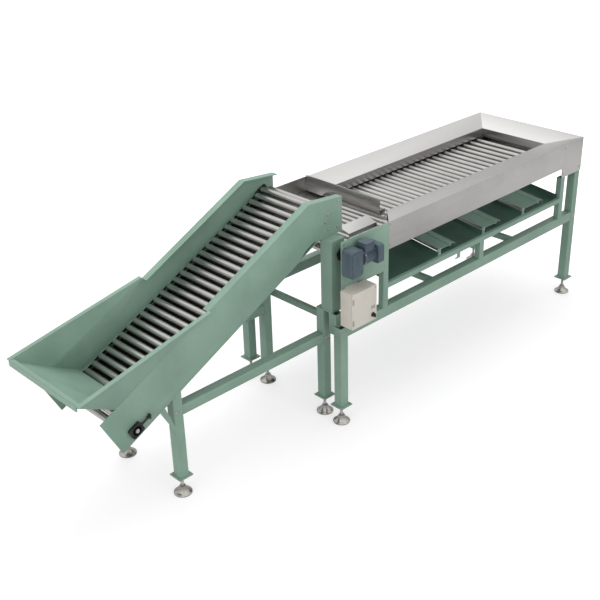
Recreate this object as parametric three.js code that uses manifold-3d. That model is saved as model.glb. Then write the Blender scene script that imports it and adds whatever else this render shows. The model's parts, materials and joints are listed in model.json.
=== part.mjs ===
// A roller sorting machine for round fruit and vegetables: an inclined roller elevator with a feed
// hopper lifts the crop onto a roller table whose gaps widen, and sloping chutes under it take each size.
// Millimetres, +Z up, +X from the hopper to the far end of the table, the control box on the -Y side.
import * as THREE from "three";
import { mergeVertices } from "three/addons/utils/BufferGeometryUtils.js";
import Module from "manifold-3d";

const wasm = await Module();
wasm.setup();

// Driving dimensions: the table
const rimHeight = 1250;
const tableHalfWidth = 462;
const troughFrontX = 388;
const tableRearX = 2510;
const panelDepth = 180;
const coverDepth = 250;
const coverLength = 248;
const shoulderDrop = 38;
const shoulderWidth = 187;
const endShoulderLength = 220;
const innerWallDepth = 62;
const panelLip = 22;
const sheet = 4;
const shoulderFrontX = 609;
const nearShoulderFrontX = 579;
const coverTopDrop = 5;
const shelfWidth = 144;
const shelfFrontX = 262;
const shelfDrop = 113;

// Driving dimensions: the two roller conveyors
const rollerRadius = 19;
const rollerTopGap = 6;
const sortingFirstPitch = 54;
const sortingPitchGrowth = 40;
const sortingWrapSteps = 3;
const sortingGrowthPower = 2.5;
const sortingLastGap = 170;
const sortingReturnCount = 27;
const sortingDriveX = 200;
const sortingTailX = 2400;
const rollerUnderShoulder = 25;
const elevatorPitch = 57.15;
const elevatorWrapSteps = 2.5;
const elevatorPitchCount = 29;
const rollerInsidePlate = 32;
const chainThickness = 12;
const chainHalfHeight = 7;
const chainEnd = 9;
const discGap = 2;
const discThickness = 8;
const discRim = 8;
const shaftRadius = 12;
const trackThickness = 5;
const trackInset = 4;
const trackWebGap = 4;

// Driving dimensions: the elevator
const inclineDegrees = 26.5;
const tailShaftX = -1431;
const tailShaftDrop = 660;
const elevatorInset = 162;
const plateThickness = 6;
const plateAboveShafts = 200;
const plateBelowShafts = 58;
const plateBehindTail = 128;
const plateLip = 46;
const headKinkX = -120;
const headEndX = 150;
const headEndDrop = 26;
const headBottomDrop = 28;
const headBottomStartX = -88;
const headBottomSlopeX = -143;
const headBottomStep = 26;
const headBottomTurnX = -235;
const bearingSize = 96;
const bearingThickness = 7;
const bearingGap = 0.6;
const takeUpLength = 84;
const takeUpHeight = 66;
const takeUpThickness = 22;
const takeUpTravel = 12;
const takeUpSlotGap = 7;
const shaftBeyondBearing = 4;

// Driving dimensions: the feed hopper
const hopperTipX = -1765;
const hopperTipRise = 307;
const hopperFlare = 22;
const hopperWingJoinX = -890;
const hopperPanAlong = 84;
const hopperPanAbove = 5;
const hopperPanStep = 14;
const hopperLipDepth = 26;
const hopperGap = 0.6;

// Driving dimensions: the frame
const tubeSize = 60;
const tubeWall = 3;
const footClearance = 122;
const basePlateSize = 96;
const basePlateThickness = 8;
const baseRailDrop = 569;
const baseRailHeight = 70;
const tableFrontLegX = 0;
const elevatorFrontLegX = -1145;
const elevatorRearLegX = 11;
const elevatorRailStep = 91;
const legHeadGap = 10;
const gussetFoot = 165;
const gussetReach = 88;
const gussetWidth = 34;
const columnRise = 79;
const columnLength = 110;
const columnInset = 90;
const columnLap = 20;
const columnFrontX = -15;
const columnCap = 8;
const postInset = 59;
const crossGap = 4;
const crossWidth = 30;
const crossHeight = 40;
const crossMiddleX = 872;
const crossRearX = 1758;
const seat = 0.3;

// Driving dimensions: the levelling feet
const footRadius = 54;
const footDiscHeight = 10;
const footConeHeight = 40;
const footNeckRadius = 20;
const footStemRadius = 9;
const footNutRadius = 16;
const footNutHeight = 12;
const footStemInside = 60;
const footBoreGap = 0.5;

// Driving dimensions: the drive and the control box
const motorPlateFrontX = -25;
const motorPlateDepth = 313;
const driveSprocketRadius = 45;
const motorSprocketRadius = 35;
const motorShaftX = 25;
const motorShaftDrop = 100;
const bossRadius = 30;
const bossLength = 26;
const shaftEndGap = 4;
const driveChainInset = 44;
const transferChainInset = 78;
const chainWidth = 8;
const chainDepth = 8;
const chainGap = 0.8;
const spigotRadius = 42;
const shaftInSpigot = 10;
const motorPlateGap = 8;
const motorRadius = 50;
const motorLength = 100;
const fanCoverLength = 54;
const gearboxLength = 105;
const gearboxHeight = 170;
const gearboxDepth = 80;
const gearboxStandOff = 18;
const gearboxBelowShaft = 105;
const gearboxBeforeShaft = 70;
const terminalBoxLength = 84;
const terminalBoxWidth = 74;
const terminalBoxHeight = 40;
const fanCoverStep = 10;
const boxX = -55;
const boxWidth = 210;
const boxHeight = 230;
const boxDepth = 85;
const boxHang = 207;
const boxStandOff = 18;
const boxWall = 3;
const bracketWidth = 100;
const bracketDrop = 95;
const doorThickness = 12;
const knobInset = 35;
const knobRise = 42;
const knobRadius = 15;
const knobLength = 14;
const knobGripWidth = 7;
const knobGripHeight = 10;
const glandRadius = 9;
const glandLength = 18;
const glandSpacing = 66;

// Driving dimensions: the chutes, their rails and the divider flaps
const trayRailDrop = 408;
const trayRailHeight = 32;
const trayRailWidth = 40;
const trayPostWidth = 45;
const chuteRiseDegrees = 7;
const chuteSheet = 3;
const chuteLip = 30;
const chuteInset = 24;
const midPostX = 1340;
const rearPostX = 2286;
const chuteUnderLip = 14;
const chuteSpans = [
  [400, 897],
  [945, 1366],
  [1415, 1823],
  [1872, 2255],
];
const flapRods = [917, 1387, 1844];
const flapRidges = [1049, 1546, 2051];
const flapRodRadius = 8;
const flapRodAbove = 30;
const flapRidgeRadius = 25;
const flapRidgeAbove = 26;
const flapSheet = 4;
const flapRodInset = 2;
const flapRodBeyond = 4;
const flapBladeInset = 16;
const flapRidgeInset = 5;
const earNearInset = 8;
const earFarInset = 2;
const earThickness = 6;
const earRoot = 8;
const earBoreGap = 0.6;
const earHalfWidth = 14;
const leverX = 1090;
const leverWidth = 26;
const leverHang = 36;
const leverHook = 20;
const leverThickness = 6;

// Driving dimensions: the feed gate and the skirt beside it
const gateX = 598;
const gateRise = 12;
const gateHeight = 112;
const gateLean = 22;
const gateTabLength = 40;
const gateTabHeight = 42;
const gateSideGap = 0.7;
const gateShort = 64;
const skirtFrontX = 155;
const skirtRearX = 398;
const skirtDrop = 14;
const skirtOverInner = 8;
const skirtInset = 109;
const skirtSlopeDrop = 21;
const skirtFold = 28;

// Sides of round pieces, and the reach of a cut past the piece it goes through
const rollerSides = 8;
const returnRollerSides = 6;
const boreHoleSides = 12;
const nutSides = 6;
const loopSteps = 36;
const shaftSides = 12;
const discSides = 18;
const footSides = 16;
const motorSides = 20;
const overrun = 10;
const mergeReach = 0.001;

const sage = { color: 0x8fae9b, roughness: 0.5, metalness: 0.1 };
const sageDark = { color: 0x3f6656, roughness: 0.5, metalness: 0.1 };
const stainless = { color: 0xb9b2a8, roughness: 0.35, metalness: 0.9 };
const rollerSteel = { color: 0xd0c8bd, roughness: 0.25, metalness: 0.95 };
const motorPaint = { color: 0x47586b, roughness: 0.45, metalness: 0.2 };
const castBlack = { color: 0x2c2a28, roughness: 0.6, metalness: 0.5 };
const boxPaint = { color: 0xd6cdbf, roughness: 0.55, metalness: 0.05 };
const blackPlastic = { color: 0x1d1d1d, roughness: 0.5, metalness: 0 };

// The solid that a closed geometry bounds
function solidOf(geometry) {
  const bare = geometry.index ? geometry.toNonIndexed() : geometry.clone();
  bare.deleteAttribute("normal");
  bare.deleteAttribute("uv");
  const merged = mergeVertices(bare, mergeReach);
  const mesh = new wasm.Mesh({
    numProp: 3,
    vertProperties: merged.attributes.position.array,
    triVerts: new Uint32Array(merged.index.array),
  });
  return new wasm.Manifold(mesh);
}

function geometryOf(solid) {
  const mesh = solid.getMesh();
  const points = new Float32Array(mesh.numVert * 3);
  for (let i = 0; i < mesh.numVert; i++) {
    points.set(mesh.vertProperties.subarray(i * mesh.numProp, i * mesh.numProp + 3), i * 3);
  }
  const geometry = new THREE.BufferGeometry();
  geometry.setAttribute("position", new THREE.BufferAttribute(points, 3));
  geometry.setIndex(new THREE.BufferAttribute(new Uint32Array(mesh.triVerts), 1));
  geometry.computeVertexNormals();
  return geometry;
}

function join(...geometries) {
  return geometryOf(geometries.map(solidOf).reduce((sum, next) => sum.add(next)));
}

function cut(geometry, ...tools) {
  return geometryOf(tools.map(solidOf).reduce((rest, tool) => rest.subtract(tool), solidOf(geometry)));
}

function box([x0, x1], [y0, y1], [z0, z1]) {
  const geometry = new THREE.BoxGeometry(x1 - x0, y1 - y0, z1 - z0);
  return geometry.translate((x0 + x1) / 2, (y0 + y1) / 2, (z0 + z1) / 2);
}

// A square tube: the box with a bore along one axis (0, 1 or 2) that leaves the wall round it
function tube(spans, axis, wall = tubeWall) {
  const inner = spans.map(([low, high], i) =>
    i === axis ? [low - overrun, high + overrun] : [low + wall, high - wall],
  );
  return cut(box(...spans), box(...inner));
}

// An outline of [x, z] points carried along Y
function prismXZ(points, [y0, y1]) {
  const shape = new THREE.Shape(points.map(([x, z]) => new THREE.Vector2(x, z)));
  const geometry = new THREE.ExtrudeGeometry(shape, { depth: y1 - y0, bevelEnabled: false });
  return geometry.rotateX(Math.PI / 2).translate(0, y1, 0);
}

// An outline of [y, z] points carried along X
function prismYZ(points, [x0, x1]) {
  const shape = new THREE.Shape(points.map(([y, z]) => new THREE.Vector2(y, z)));
  const geometry = new THREE.ExtrudeGeometry(shape, { depth: x1 - x0, bevelEnabled: false });
  return geometry.rotateX(Math.PI / 2).rotateZ(Math.PI / 2).translate(x0, 0, 0);
}

// An outline of [x, y] points carried along Z
function prismXY(points, [z0, z1]) {
  const shape = new THREE.Shape(points.map(([x, y]) => new THREE.Vector2(x, y)));
  const geometry = new THREE.ExtrudeGeometry(shape, { depth: z1 - z0, bevelEnabled: false });
  return geometry.translate(0, 0, z0);
}

function rodY(radius, [y0, y1], [x, z], sides = shaftSides) {
  const geometry = new THREE.CylinderGeometry(radius, radius, y1 - y0, sides);
  return geometry.translate(x, (y0 + y1) / 2, z);
}

function rodX(radius, [x0, x1], [y, z], sides = shaftSides) {
  const geometry = new THREE.CylinderGeometry(radius, radius, x1 - x0, sides);
  return geometry.rotateZ(Math.PI / 2).translate((x0 + x1) / 2, y, z);
}

// The closed outline of a folded sheet: the points, and the same points moved across by the thickness
function folded(points, thickness) {
  const normals = points.slice(1).map(([x, z], i) => {
    const length = Math.hypot(x - points[i][0], z - points[i][1]);
    return [(points[i][1] - z) / length, (x - points[i][0]) / length];
  });
  const inner = points.map(([x, z], i) => {
    const before = normals[Math.max(i - 1, 0)];
    const after = normals[Math.min(i, normals.length - 1)];
    const spread = 1 + before[0] * after[0] + before[1] * after[1];
    return [
      x + (thickness * (before[0] + after[0])) / spread,
      z + (thickness * (before[1] + after[1])) / spread,
    ];
  });
  return [...points, ...inner.reverse()];
}

// A flat plate between corner points in space, with its thickness along the plate's normal
function plateBetween(corners, thickness) {
  const points = corners.map((corner) => new THREE.Vector3(...corner));
  const across = points[1].clone().sub(points[0]).normalize();
  const normal = across.clone().cross(points[2].clone().sub(points[0])).normalize();
  const up = normal.clone().cross(across);
  const flat = points.map((point) => {
    const offset = point.clone().sub(points[0]);
    return new THREE.Vector2(offset.dot(across), offset.dot(up));
  });
  const geometry = new THREE.ExtrudeGeometry(new THREE.Shape(flat), {
    depth: Math.abs(thickness),
    bevelEnabled: false,
  });
  geometry.translate(0, 0, Math.min(thickness, 0));
  const frame = new THREE.Matrix4().makeBasis(across, up, normal).setPosition(points[0]);
  return geometry.applyMatrix4(frame);
}

// The same piece on the far side: mirrored across y = 0, with its faces turned out again
function mirrored(geometry) {
  const copy = geometry.clone().scale(1, -1, 1);
  const corners = copy.index.array;
  for (let i = 0; i < corners.length; i += 3) {
    [corners[i + 1], corners[i + 2]] = [corners[i + 2], corners[i + 1]];
  }
  return copy;
}

const machine = new THREE.Group();

function add(name, geometry, look, parent = machine) {
  const mesh = new THREE.Mesh(geometry, new THREE.MeshStandardMaterial(look));
  mesh.name = name;
  parent.add(mesh);
  return mesh;
}

// Widths that follow the table's, and heights that follow its rim
const troughInnerHalfWidth = tableHalfWidth - shoulderWidth;
const shelfInnerHalfWidth = tableHalfWidth - shelfWidth;
const sortingRollerHalfLength = troughInnerHalfWidth + rollerUnderShoulder;
const plateOuterHalfWidth = tableHalfWidth - elevatorInset;
const plateInner = plateOuterHalfWidth - plateThickness;
const elevatorRollerHalfLength = plateInner - rollerInsidePlate;
const hopperTipHalfWidth = plateOuterHalfWidth + hopperFlare;
const columnOuterHalfWidth = tableHalfWidth - columnInset;
const columnInnerHalfWidth = plateOuterHalfWidth - columnLap;
const postOuterHalfWidth = tableHalfWidth - postInset;
const drivePlane = driveChainInset - tableHalfWidth;
const transferPlane = tableHalfWidth - transferChainInset;
const motorAxisHalfWidth = tableHalfWidth + motorPlateGap + fanCoverStep + motorRadius;
const chuteHalfLength = tableHalfWidth - chuteInset;
const chuteLength = 2 * chuteHalfLength;
const skirtInnerHalfWidth = troughInnerHalfWidth - skirtOverInner;
const skirtOuterHalfWidth = tableHalfWidth - skirtInset;
const shelfTop = rimHeight - shelfDrop;
const tailShaftZ = rimHeight - tailShaftDrop;
const headBottomZ = rimHeight - headBottomDrop;
const headBottomSlopeZ = headBottomZ - headBottomStep;
const hopperTipZ = tailShaftZ + hopperTipRise;
const baseRailTop = rimHeight - baseRailDrop;
const elevatorRailTop = baseRailTop - elevatorRailStep;
const columnBottom = baseRailTop + columnRise;
const motorPlateBottom = rimHeight - motorPlateDepth;
const motorShaftZ = rimHeight - motorShaftDrop;
const boxBottom = motorPlateBottom - boxHang;
const trayRailTop = rimHeight - trayRailDrop;
const gateTop = rimHeight + gateRise;
const gateBottom = gateTop - gateHeight;
const skirtTop = rimHeight - skirtDrop;

// The incline: places along it and square above it, from the tail shaft
const incline = THREE.MathUtils.degToRad(inclineDegrees);

function onIncline(along, above) {
  return [
    tailShaftX + along * Math.cos(incline) - above * Math.sin(incline),
    tailShaftZ + along * Math.sin(incline) + above * Math.cos(incline),
  ];
}

// The point of the line at one height above the shafts that lies at a given x
function inclineAtX(x, above) {
  return onIncline((x - onIncline(0, above)[0]) / Math.cos(incline), above);
}

const elevatorLength = elevatorPitch * elevatorPitchCount;
const elevatorRadius = (elevatorPitch * elevatorWrapSteps) / Math.PI;
const headShaft = onIncline(elevatorLength, 0);

// The sorting conveyor's levels
const shoulderInnerZ = rimHeight - shoulderDrop;
const innerWallBottom = shoulderInnerZ - innerWallDepth;
const panelBottom = rimHeight - panelDepth;
const sortingAxisZ = innerWallBottom - rollerTopGap - rollerRadius;
const sortingRadius = (sortingFirstPitch * sortingWrapSteps) / Math.PI;
const sortingShaftZ = sortingAxisZ - sortingRadius;
const sortingReturnZ = sortingShaftZ - sortingRadius;

// A ladder of rollers between two chain strips, along X at height zero
function rollerRun(places, halfLength, sides) {
  const strip = [places[0] - chainEnd, places[places.length - 1] + chainEnd];
  const tall = [-chainHalfHeight, chainHalfHeight];
  const outer = halfLength + chainThickness;
  const middle = halfLength + chainThickness / 2;
  const strips = [box(strip, [-outer, -halfLength], tall), box(strip, [halfLength, outer], tall)];
  const rollers = places.map((x) => rodY(rollerRadius, [-middle, middle], [x, 0], sides));
  return join(...strips, ...rollers);
}

// A shaft with its two discs and the rollers that go round on them, about the Y axis at the origin
function wrapShaft({ radius, turns, halfLength, ends, sprockets = [] }) {
  const inner = halfLength + chainThickness + discGap;
  const outer = inner + discThickness;
  const middle = (inner + outer) / 2;
  const discs = [
    [-outer, -inner],
    [inner, outer],
  ].map((span) => rodY(radius + discRim, span, [0, 0], discSides));
  const rollers = turns.map((turn) => {
    const angle = Math.PI / 2 - turn;
    const place = [radius * Math.cos(angle), radius * Math.sin(angle)];
    return rodY(rollerRadius, [-middle, middle], place, rollerSides);
  });
  return join(rodY(shaftRadius, ends, [0, 0]), ...discs, ...rollers, ...sprockets);
}

function sprocket(radius, plane) {
  return rodY(radius, [plane - chainWidth / 2, plane + chainWidth / 2], [0, 0], discSides);
}

// The outline of a loop drawn tight round two circles, each grown by the same amount
function loopOutline(circles, grow) {
  return Array.from({ length: loopSteps }, (_, i) => {
    const turn = (2 * Math.PI * i) / loopSteps;
    const way = [Math.cos(turn), Math.sin(turn)];
    const reach = ({ x, z, radius }) => x * way[0] + z * way[1] + radius;
    const { x, z, radius } = circles.reduce((best, next) => (reach(next) > reach(best) ? next : best));
    return [x + (radius + grow) * way[0], z + (radius + grow) * way[1]];
  });
}

function chainLoop(circles, plane) {
  const span = [plane - chainWidth / 2, plane + chainWidth / 2];
  const band = prismXZ(loopOutline(circles, chainGap + chainDepth), span);
  const hole = prismXZ(loopOutline(circles, chainGap), [span[0] - overrun, span[1] + overrun]);
  return cut(band, hole);
}

// Side plates of the elevator, with the tracks that carry its chains
const kink = inclineAtX(headKinkX, plateAboveShafts);
const headTop = [headEndX, kink[1] - headEndDrop];
const plateTail = [plateAboveShafts, -plateBelowShafts].map((above) => onIncline(-plateBehindTail, above));
const plateOutline = [
  ...plateTail,
  inclineAtX(headBottomTurnX, -plateBelowShafts),
  [headBottomSlopeX, headBottomSlopeZ],
  [headBottomStartX, headBottomZ],
  [headEndX, headBottomZ],
  headTop,
  kink,
];

// A strip along the incline between two places and two heights above the shafts
function inclineStrip([from, to], [low, high], span) {
  const corners = [onIncline(from, low), onIncline(to, low), onIncline(to, high), onIncline(from, high)];
  return prismXZ(corners, span);
}

// The side plate is open at its tail, where the hopper's wing goes on; only the far one lets the head shaft out
const wingJoin = inclineAtX(hopperWingJoinX, plateAboveShafts);

function elevatorSide(shaftHole) {
  const plate = prismXZ(plateOutline, [-plateOuterHalfWidth, -plateInner]);
  const lipOutline = folded([headTop, kink, wingJoin], plateThickness);
  const lip = prismXZ(lipOutline, [-plateOuterHalfWidth, plateLip - plateOuterHalfWidth]);
  const reach = elevatorRadius + discRim + overrun;
  const trackX = [reach, elevatorLength - reach];
  const trackY = [-plateInner - trackInset / 2, trackInset - elevatorRollerHalfLength - chainThickness];
  const tracks = [elevatorRadius, -elevatorRadius].map((level) => {
    const top = level - chainHalfHeight - seat;
    return inclineStrip(trackX, [top - trackThickness, top], trackY);
  });
  const through = [-plateOuterHalfWidth - overrun, overrun - plateInner];
  const slotReach = shaftRadius + takeUpSlotGap;
  const slot = inclineStrip([-takeUpTravel - slotReach, slotReach], [-slotReach, slotReach], through);
  const side = cut(join(plate, lip, ...tracks), slot);
  return shaftHole ? cut(side, rodY(shaftRadius + discGap, through, headShaft)) : side;
}

add("elevator_side_near", elevatorSide(false), sage);
add("elevator_side_far", mirrored(elevatorSide(true)), sage);

// The feed hopper: a pan that runs down between the side plates, and a wing plate on each of them
const panEnd = onIncline(hopperPanAlong, elevatorRadius + rollerRadius + hopperPanAbove);
const panSlope = (panEnd[1] - hopperTipZ) / (panEnd[0] - hopperTipX);
const panMeetX =
  (hopperTipZ - panSlope * hopperTipX - wingJoin[1] + Math.tan(incline) * wingJoin[0]) /
  (Math.tan(incline) - panSlope);
const panAt = (x) => [x, hopperTipZ + panSlope * (x - hopperTipX)];

function hopper() {
  const above = panAt(panMeetX - hopperPanStep);
  const meet = panAt(panMeetX);
  const wide = plateInner - hopperGap;
  const halfWidths = [
    [[hopperTipX, hopperTipZ], hopperTipHalfWidth - sheet / 2],
    [above, plateOuterHalfWidth - sheet / 2],
    [above, wide],
    [panEnd, wide],
  ];
  const nearSide = halfWidths.map(([[x, z], half]) => [x, -half, z]);
  const farSide = halfWidths.map(([[x, z], half]) => [x, half, z]).reverse();
  const pan = plateBetween([...nearSide, ...farSide], sheet);
  const root = panAt(panMeetX - hopperPanStep - overrun);
  const wing = plateBetween(
    [
      [meet[0], -plateOuterHalfWidth, meet[1] + hopperGap],
      [wingJoin[0], -plateOuterHalfWidth, wingJoin[1] + hopperGap],
      [hopperTipX, -hopperTipHalfWidth, hopperTipZ + sheet / 2],
      [hopperTipX, -hopperTipHalfWidth, hopperTipZ - 2 * sheet],
      [root[0], -plateOuterHalfWidth - hopperGap, root[1] - 2 * sheet],
    ],
    -sheet,
  );
  const lip = box(
    [hopperTipX - sheet, hopperTipX + sheet],
    [-hopperTipHalfWidth, hopperTipHalfWidth],
    [hopperTipZ - hopperLipDepth, hopperTipZ + sheet],
  );
  return join(pan, wing, mirrored(join(wing)), lip);
}

add("feed_hopper", hopper(), sage);

// The elevator's moving rollers, laid level and turned to the incline about the tail shaft
const elevator = new THREE.Group();
elevator.position.set(tailShaftX, 0, tailShaftZ);
elevator.rotation.y = -incline;
machine.add(elevator);

const halfStep = elevatorWrapSteps - Math.floor(elevatorWrapSteps);
const upperPlaces = Array.from({ length: elevatorPitchCount - 1 }, (_, i) => elevatorPitch * (i + 1));
const returnPlaces = Array.from({ length: elevatorPitchCount }, (_, i) => elevatorPitch * (i + halfStep));
const upperRun = rollerRun(upperPlaces, elevatorRollerHalfLength, rollerSides);
const returnRun = rollerRun(returnPlaces, elevatorRollerHalfLength, returnRollerSides);
add("elevator_rollers_upper", upperRun, rollerSteel, elevator).position.z = elevatorRadius;
add("elevator_rollers_return", returnRun, rollerSteel, elevator).position.z = -elevatorRadius;

const elevatorStep = elevatorPitch / elevatorRadius;
const wrapCount = Math.ceil(elevatorWrapSteps);
const bearingOuter = plateInner - seat;
const transferSpan = [-bearingOuter, transferPlane + chainWidth];
const headSprocketRadius = driveSprocketRadius / (elevatorStep / (sortingFirstPitch / sortingRadius));
const headWrap = wrapShaft({
  radius: elevatorRadius,
  turns: Array.from({ length: wrapCount }, (_, i) => i * elevatorStep),
  halfLength: elevatorRollerHalfLength,
  ends: transferSpan,
  sprockets: [sprocket(headSprocketRadius, transferPlane)],
});
const takeUpOuter = plateOuterHalfWidth + seat + takeUpThickness;
const tailWrap = wrapShaft({
  radius: elevatorRadius,
  turns: Array.from({ length: wrapCount }, (_, i) => -i * elevatorStep),
  halfLength: elevatorRollerHalfLength,
  ends: [-takeUpOuter - shaftBeyondBearing, takeUpOuter + shaftBeyondBearing],
});
const headMesh = add("elevator_head_shaft", headWrap, rollerSteel, elevator);
headMesh.position.x = elevatorLength;
add("elevator_tail_shaft", tailWrap, rollerSteel, elevator);

function bearing(length, height, span) {
  const half = [length / 2, height / 2];
  const through = [span[0] - overrun, span[1] + overrun];
  const bore = rodY(shaftRadius + bearingGap, through, [0, 0], boreHoleSides);
  return cut(box([-half[0], half[0]], span, [-half[1], half[1]]), bore);
}

const headBearing = bearing(bearingSize, bearingSize, [-bearingOuter, bearingThickness - bearingOuter]);
add("head_bearing_near", headBearing, castBlack, elevator).position.x = elevatorLength;
add("head_bearing_far", mirrored(headBearing), castBlack, elevator).position.x = elevatorLength;
const takeUp = bearing(takeUpLength, takeUpHeight, [-takeUpOuter, -plateOuterHalfWidth - seat]);
add("take_up_bearing_near", takeUp, castBlack, elevator);
add("take_up_bearing_far", mirrored(takeUp), castBlack, elevator);

// Legs: a square tube on a base plate that takes the stem of a levelling foot
const tableLegCentre = tableHalfWidth - sheet - seat - tubeSize / 2;
const elevatorLegCentre = plateOuterHalfWidth - tubeSize / 2;
const tableRearLegX = tableRearX - sheet - seat - tubeSize / 2;
const around = (middle, size) => [middle - size / 2, middle + size / 2];

function leg(x, y, top) {
  const post = tube([around(x, tubeSize), around(y, tubeSize), [footClearance, top]], 2);
  const base = box(
    around(x, basePlateSize),
    around(y, basePlateSize),
    [footClearance, footClearance + basePlateThickness],
  );
  const hole = new THREE.CylinderGeometry(
    footStemRadius + footBoreGap,
    footStemRadius + footBoreGap,
    basePlateThickness + 2 * overrun,
    boreHoleSides,
  );
  hole.rotateX(Math.PI / 2).translate(x, y, footClearance + basePlateThickness / 2);
  return cut(join(post, base), hole);
}

function elevatorFrontLeg() {
  const x = elevatorFrontLegX;
  const [left, right] = around(x, tubeSize);
  const top = inclineAtX(left, -elevatorRadius - rollerRadius)[1] - legHeadGap;
  const outer = [-plateOuterHalfWidth, -plateInner];
  const edge = -plateBelowShafts - seat;
  const tongue = prismXZ(
    [[left, top - tubeSize], [right, top - tubeSize], inclineAtX(right, edge), inclineAtX(left, edge)],
    outer,
  );
  const foot = top - gussetFoot;
  const gusset = prismXZ(
    [
      [left + tubeWall, foot - gussetWidth],
      [left + tubeWall, foot],
      inclineAtX(left - gussetReach + gussetWidth, edge),
      inclineAtX(left - gussetReach, edge),
    ],
    outer,
  );
  return join(leg(x, -elevatorLegCentre, top), tongue, gusset);
}

const columnTop = headBottomZ - seat;
const columnX = [columnFrontX, columnFrontX + columnLength];
const columnY = [-columnOuterHalfWidth, -columnInnerHalfWidth];

function elevatorRearLeg() {
  const cap = [columnBottom - columnCap, columnBottom];
  const [legLeft] = around(elevatorRearLegX, tubeSize);
  const column = tube([columnX, columnY, [columnBottom - columnCap, columnTop]], 2);
  const capBottom = box([legLeft, columnX[1]], [columnY[0], tubeSize - plateOuterHalfWidth], cap);
  return join(leg(elevatorRearLegX, -elevatorLegCentre, columnBottom - tubeWall), column, capBottom);
}

add("elevator_leg_front_near", elevatorFrontLeg(), sage);
add("elevator_leg_front_far", mirrored(elevatorFrontLeg()), sage);
add("elevator_leg_rear_near", elevatorRearLeg(), sage);
add("elevator_leg_rear_far", mirrored(elevatorRearLeg()), sage);

const elevatorRail = tube(
  [
    [elevatorFrontLegX + tubeSize / 2 + seat, elevatorRearLegX - tubeSize / 2 - seat],
    around(-elevatorLegCentre, tubeSize),
    [elevatorRailTop - tubeSize, elevatorRailTop],
  ],
  0,
);
add("elevator_rail_near", elevatorRail, sage);
add("elevator_rail_far", mirrored(elevatorRail), sage);

// The table's base frame: legs, two long rails and three cross members between them
const baseRailSpan = [baseRailTop - baseRailHeight, baseRailTop];
const crossFrontX = elevatorRearLegX + tubeSize / 2 + crossGap;
const postX = [crossFrontX - seat - tubeSize, crossFrontX - seat];
const rearLegTop = shoulderInnerZ - tubeSize;

function tableFrontLeg() {
  const postTop = columnBottom - columnCap - seat;
  const postY = [-postOuterHalfWidth, tubeSize - postOuterHalfWidth];
  const post = tube([postX, postY, [baseRailSpan[0], postTop]], 2);
  const plate = box(
    [postX[0], tableFrontLegX + tubeSize / 2],
    [-tableLegCentre, tubeSize - postOuterHalfWidth],
    [baseRailTop - tubeWall, baseRailTop],
  );
  const railEnd = box(
    [tableFrontLegX + tubeSize / 2, crossFrontX],
    [-postOuterHalfWidth - overrun, seat + tubeSize / 2 - tableLegCentre],
    [baseRailSpan[0] - overrun, baseRailSpan[1] + seat],
  );
  return cut(join(leg(tableFrontLegX, -tableLegCentre, baseRailTop), post, plate), railEnd);
}

const tableRearLeg = leg(tableRearLegX, -tableLegCentre, rearLegTop);
add("table_leg_front_near", tableFrontLeg(), sage);
add("table_leg_front_far", mirrored(tableFrontLeg()), sage);
add("table_leg_rear_near", tableRearLeg, sage);
add("table_leg_rear_far", mirrored(tableRearLeg), sage);

const baseRail = tube(
  [
    [tableFrontLegX + tubeSize / 2 + seat, tableRearLegX - tubeSize / 2 - seat],
    around(-tableLegCentre, tubeSize),
    baseRailSpan,
  ],
  0,
);
add("base_rail_near", baseRail, sage);
add("base_rail_far", mirrored(baseRail), sage);

const crossHalfLength = tableLegCentre - tubeSize / 2 - seat;
const crossPlaces = {
  base_cross_front: crossFrontX,
  base_cross_middle: crossMiddleX,
  base_cross_rear: crossRearX,
};
for (const [name, x] of Object.entries(crossPlaces)) {
  const spans = [
    [x, x + crossWidth],
    [-crossHalfLength, crossHalfLength],
    [baseRailTop - crossHeight, baseRailTop],
  ];
  add(name, tube(spans, 1), sage);
}

// The trough of the table: one folded side sheet with a channel for the chains under its shoulder
const trackTop = sortingAxisZ - chainHalfHeight - seat;
const returnTrackTop = sortingReturnZ - chainHalfHeight - seat;
const trackInner = -sortingRollerHalfLength - chainThickness + trackInset;
const discOuter = sortingRollerHalfLength + chainThickness + discGap + discThickness;
const webOuter = -discOuter - trackWebGap - sheet;
const trackReach = sortingRadius + discRim + overrun;
const sortingTrackX = [sortingDriveX + trackReach, sortingTailX - trackReach];

function chainChannel() {
  const upperZ = [trackTop - trackThickness, trackTop];
  const upper = box(sortingTrackX, [webOuter, trackInner], upperZ);
  const ledge = box([troughFrontX, coverFrontX], [sheet / 2 - tableHalfWidth, webOuter + sheet], upperZ);
  const web = box(sortingTrackX, [webOuter, webOuter + sheet], [returnTrackTop - trackThickness, trackTop]);
  const lowerY = [webOuter, trackInner];
  const lower = box(sortingTrackX, lowerY, [returnTrackTop - trackThickness, returnTrackTop]);
  return [upper, ledge, web, lower];
}

const shoulderPoints = [
  [-tableHalfWidth, rimHeight],
  [-troughInnerHalfWidth, shoulderInnerZ],
  [-troughInnerHalfWidth, innerWallBottom],
];
const coverFrontX = tableRearX - coverLength;
const innerEndX = tableRearX - endShoulderLength;

// The plan of the far end's shoulder, cut away from the sides along the mitres
function endPlan(grow) {
  const spread = (tableHalfWidth - troughInnerHalfWidth) / endShoulderLength;
  const beyond = tableHalfWidth + spread * overrun;
  return [
    [innerEndX - grow, -troughInnerHalfWidth],
    [tableRearX + overrun - grow, -beyond],
    [tableRearX + overrun - grow, beyond],
    [innerEndX - grow, troughInnerHalfWidth],
  ];
}

const everyHeight = [motorPlateBottom - overrun, rimHeight + overrun];

function troughPanel([from, to], bottom) {
  return prismYZ(
    folded([[panelLip - tableHalfWidth, bottom], [-tableHalfWidth, bottom], ...shoulderPoints], -sheet),
    [from, to],
  );
}

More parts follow.
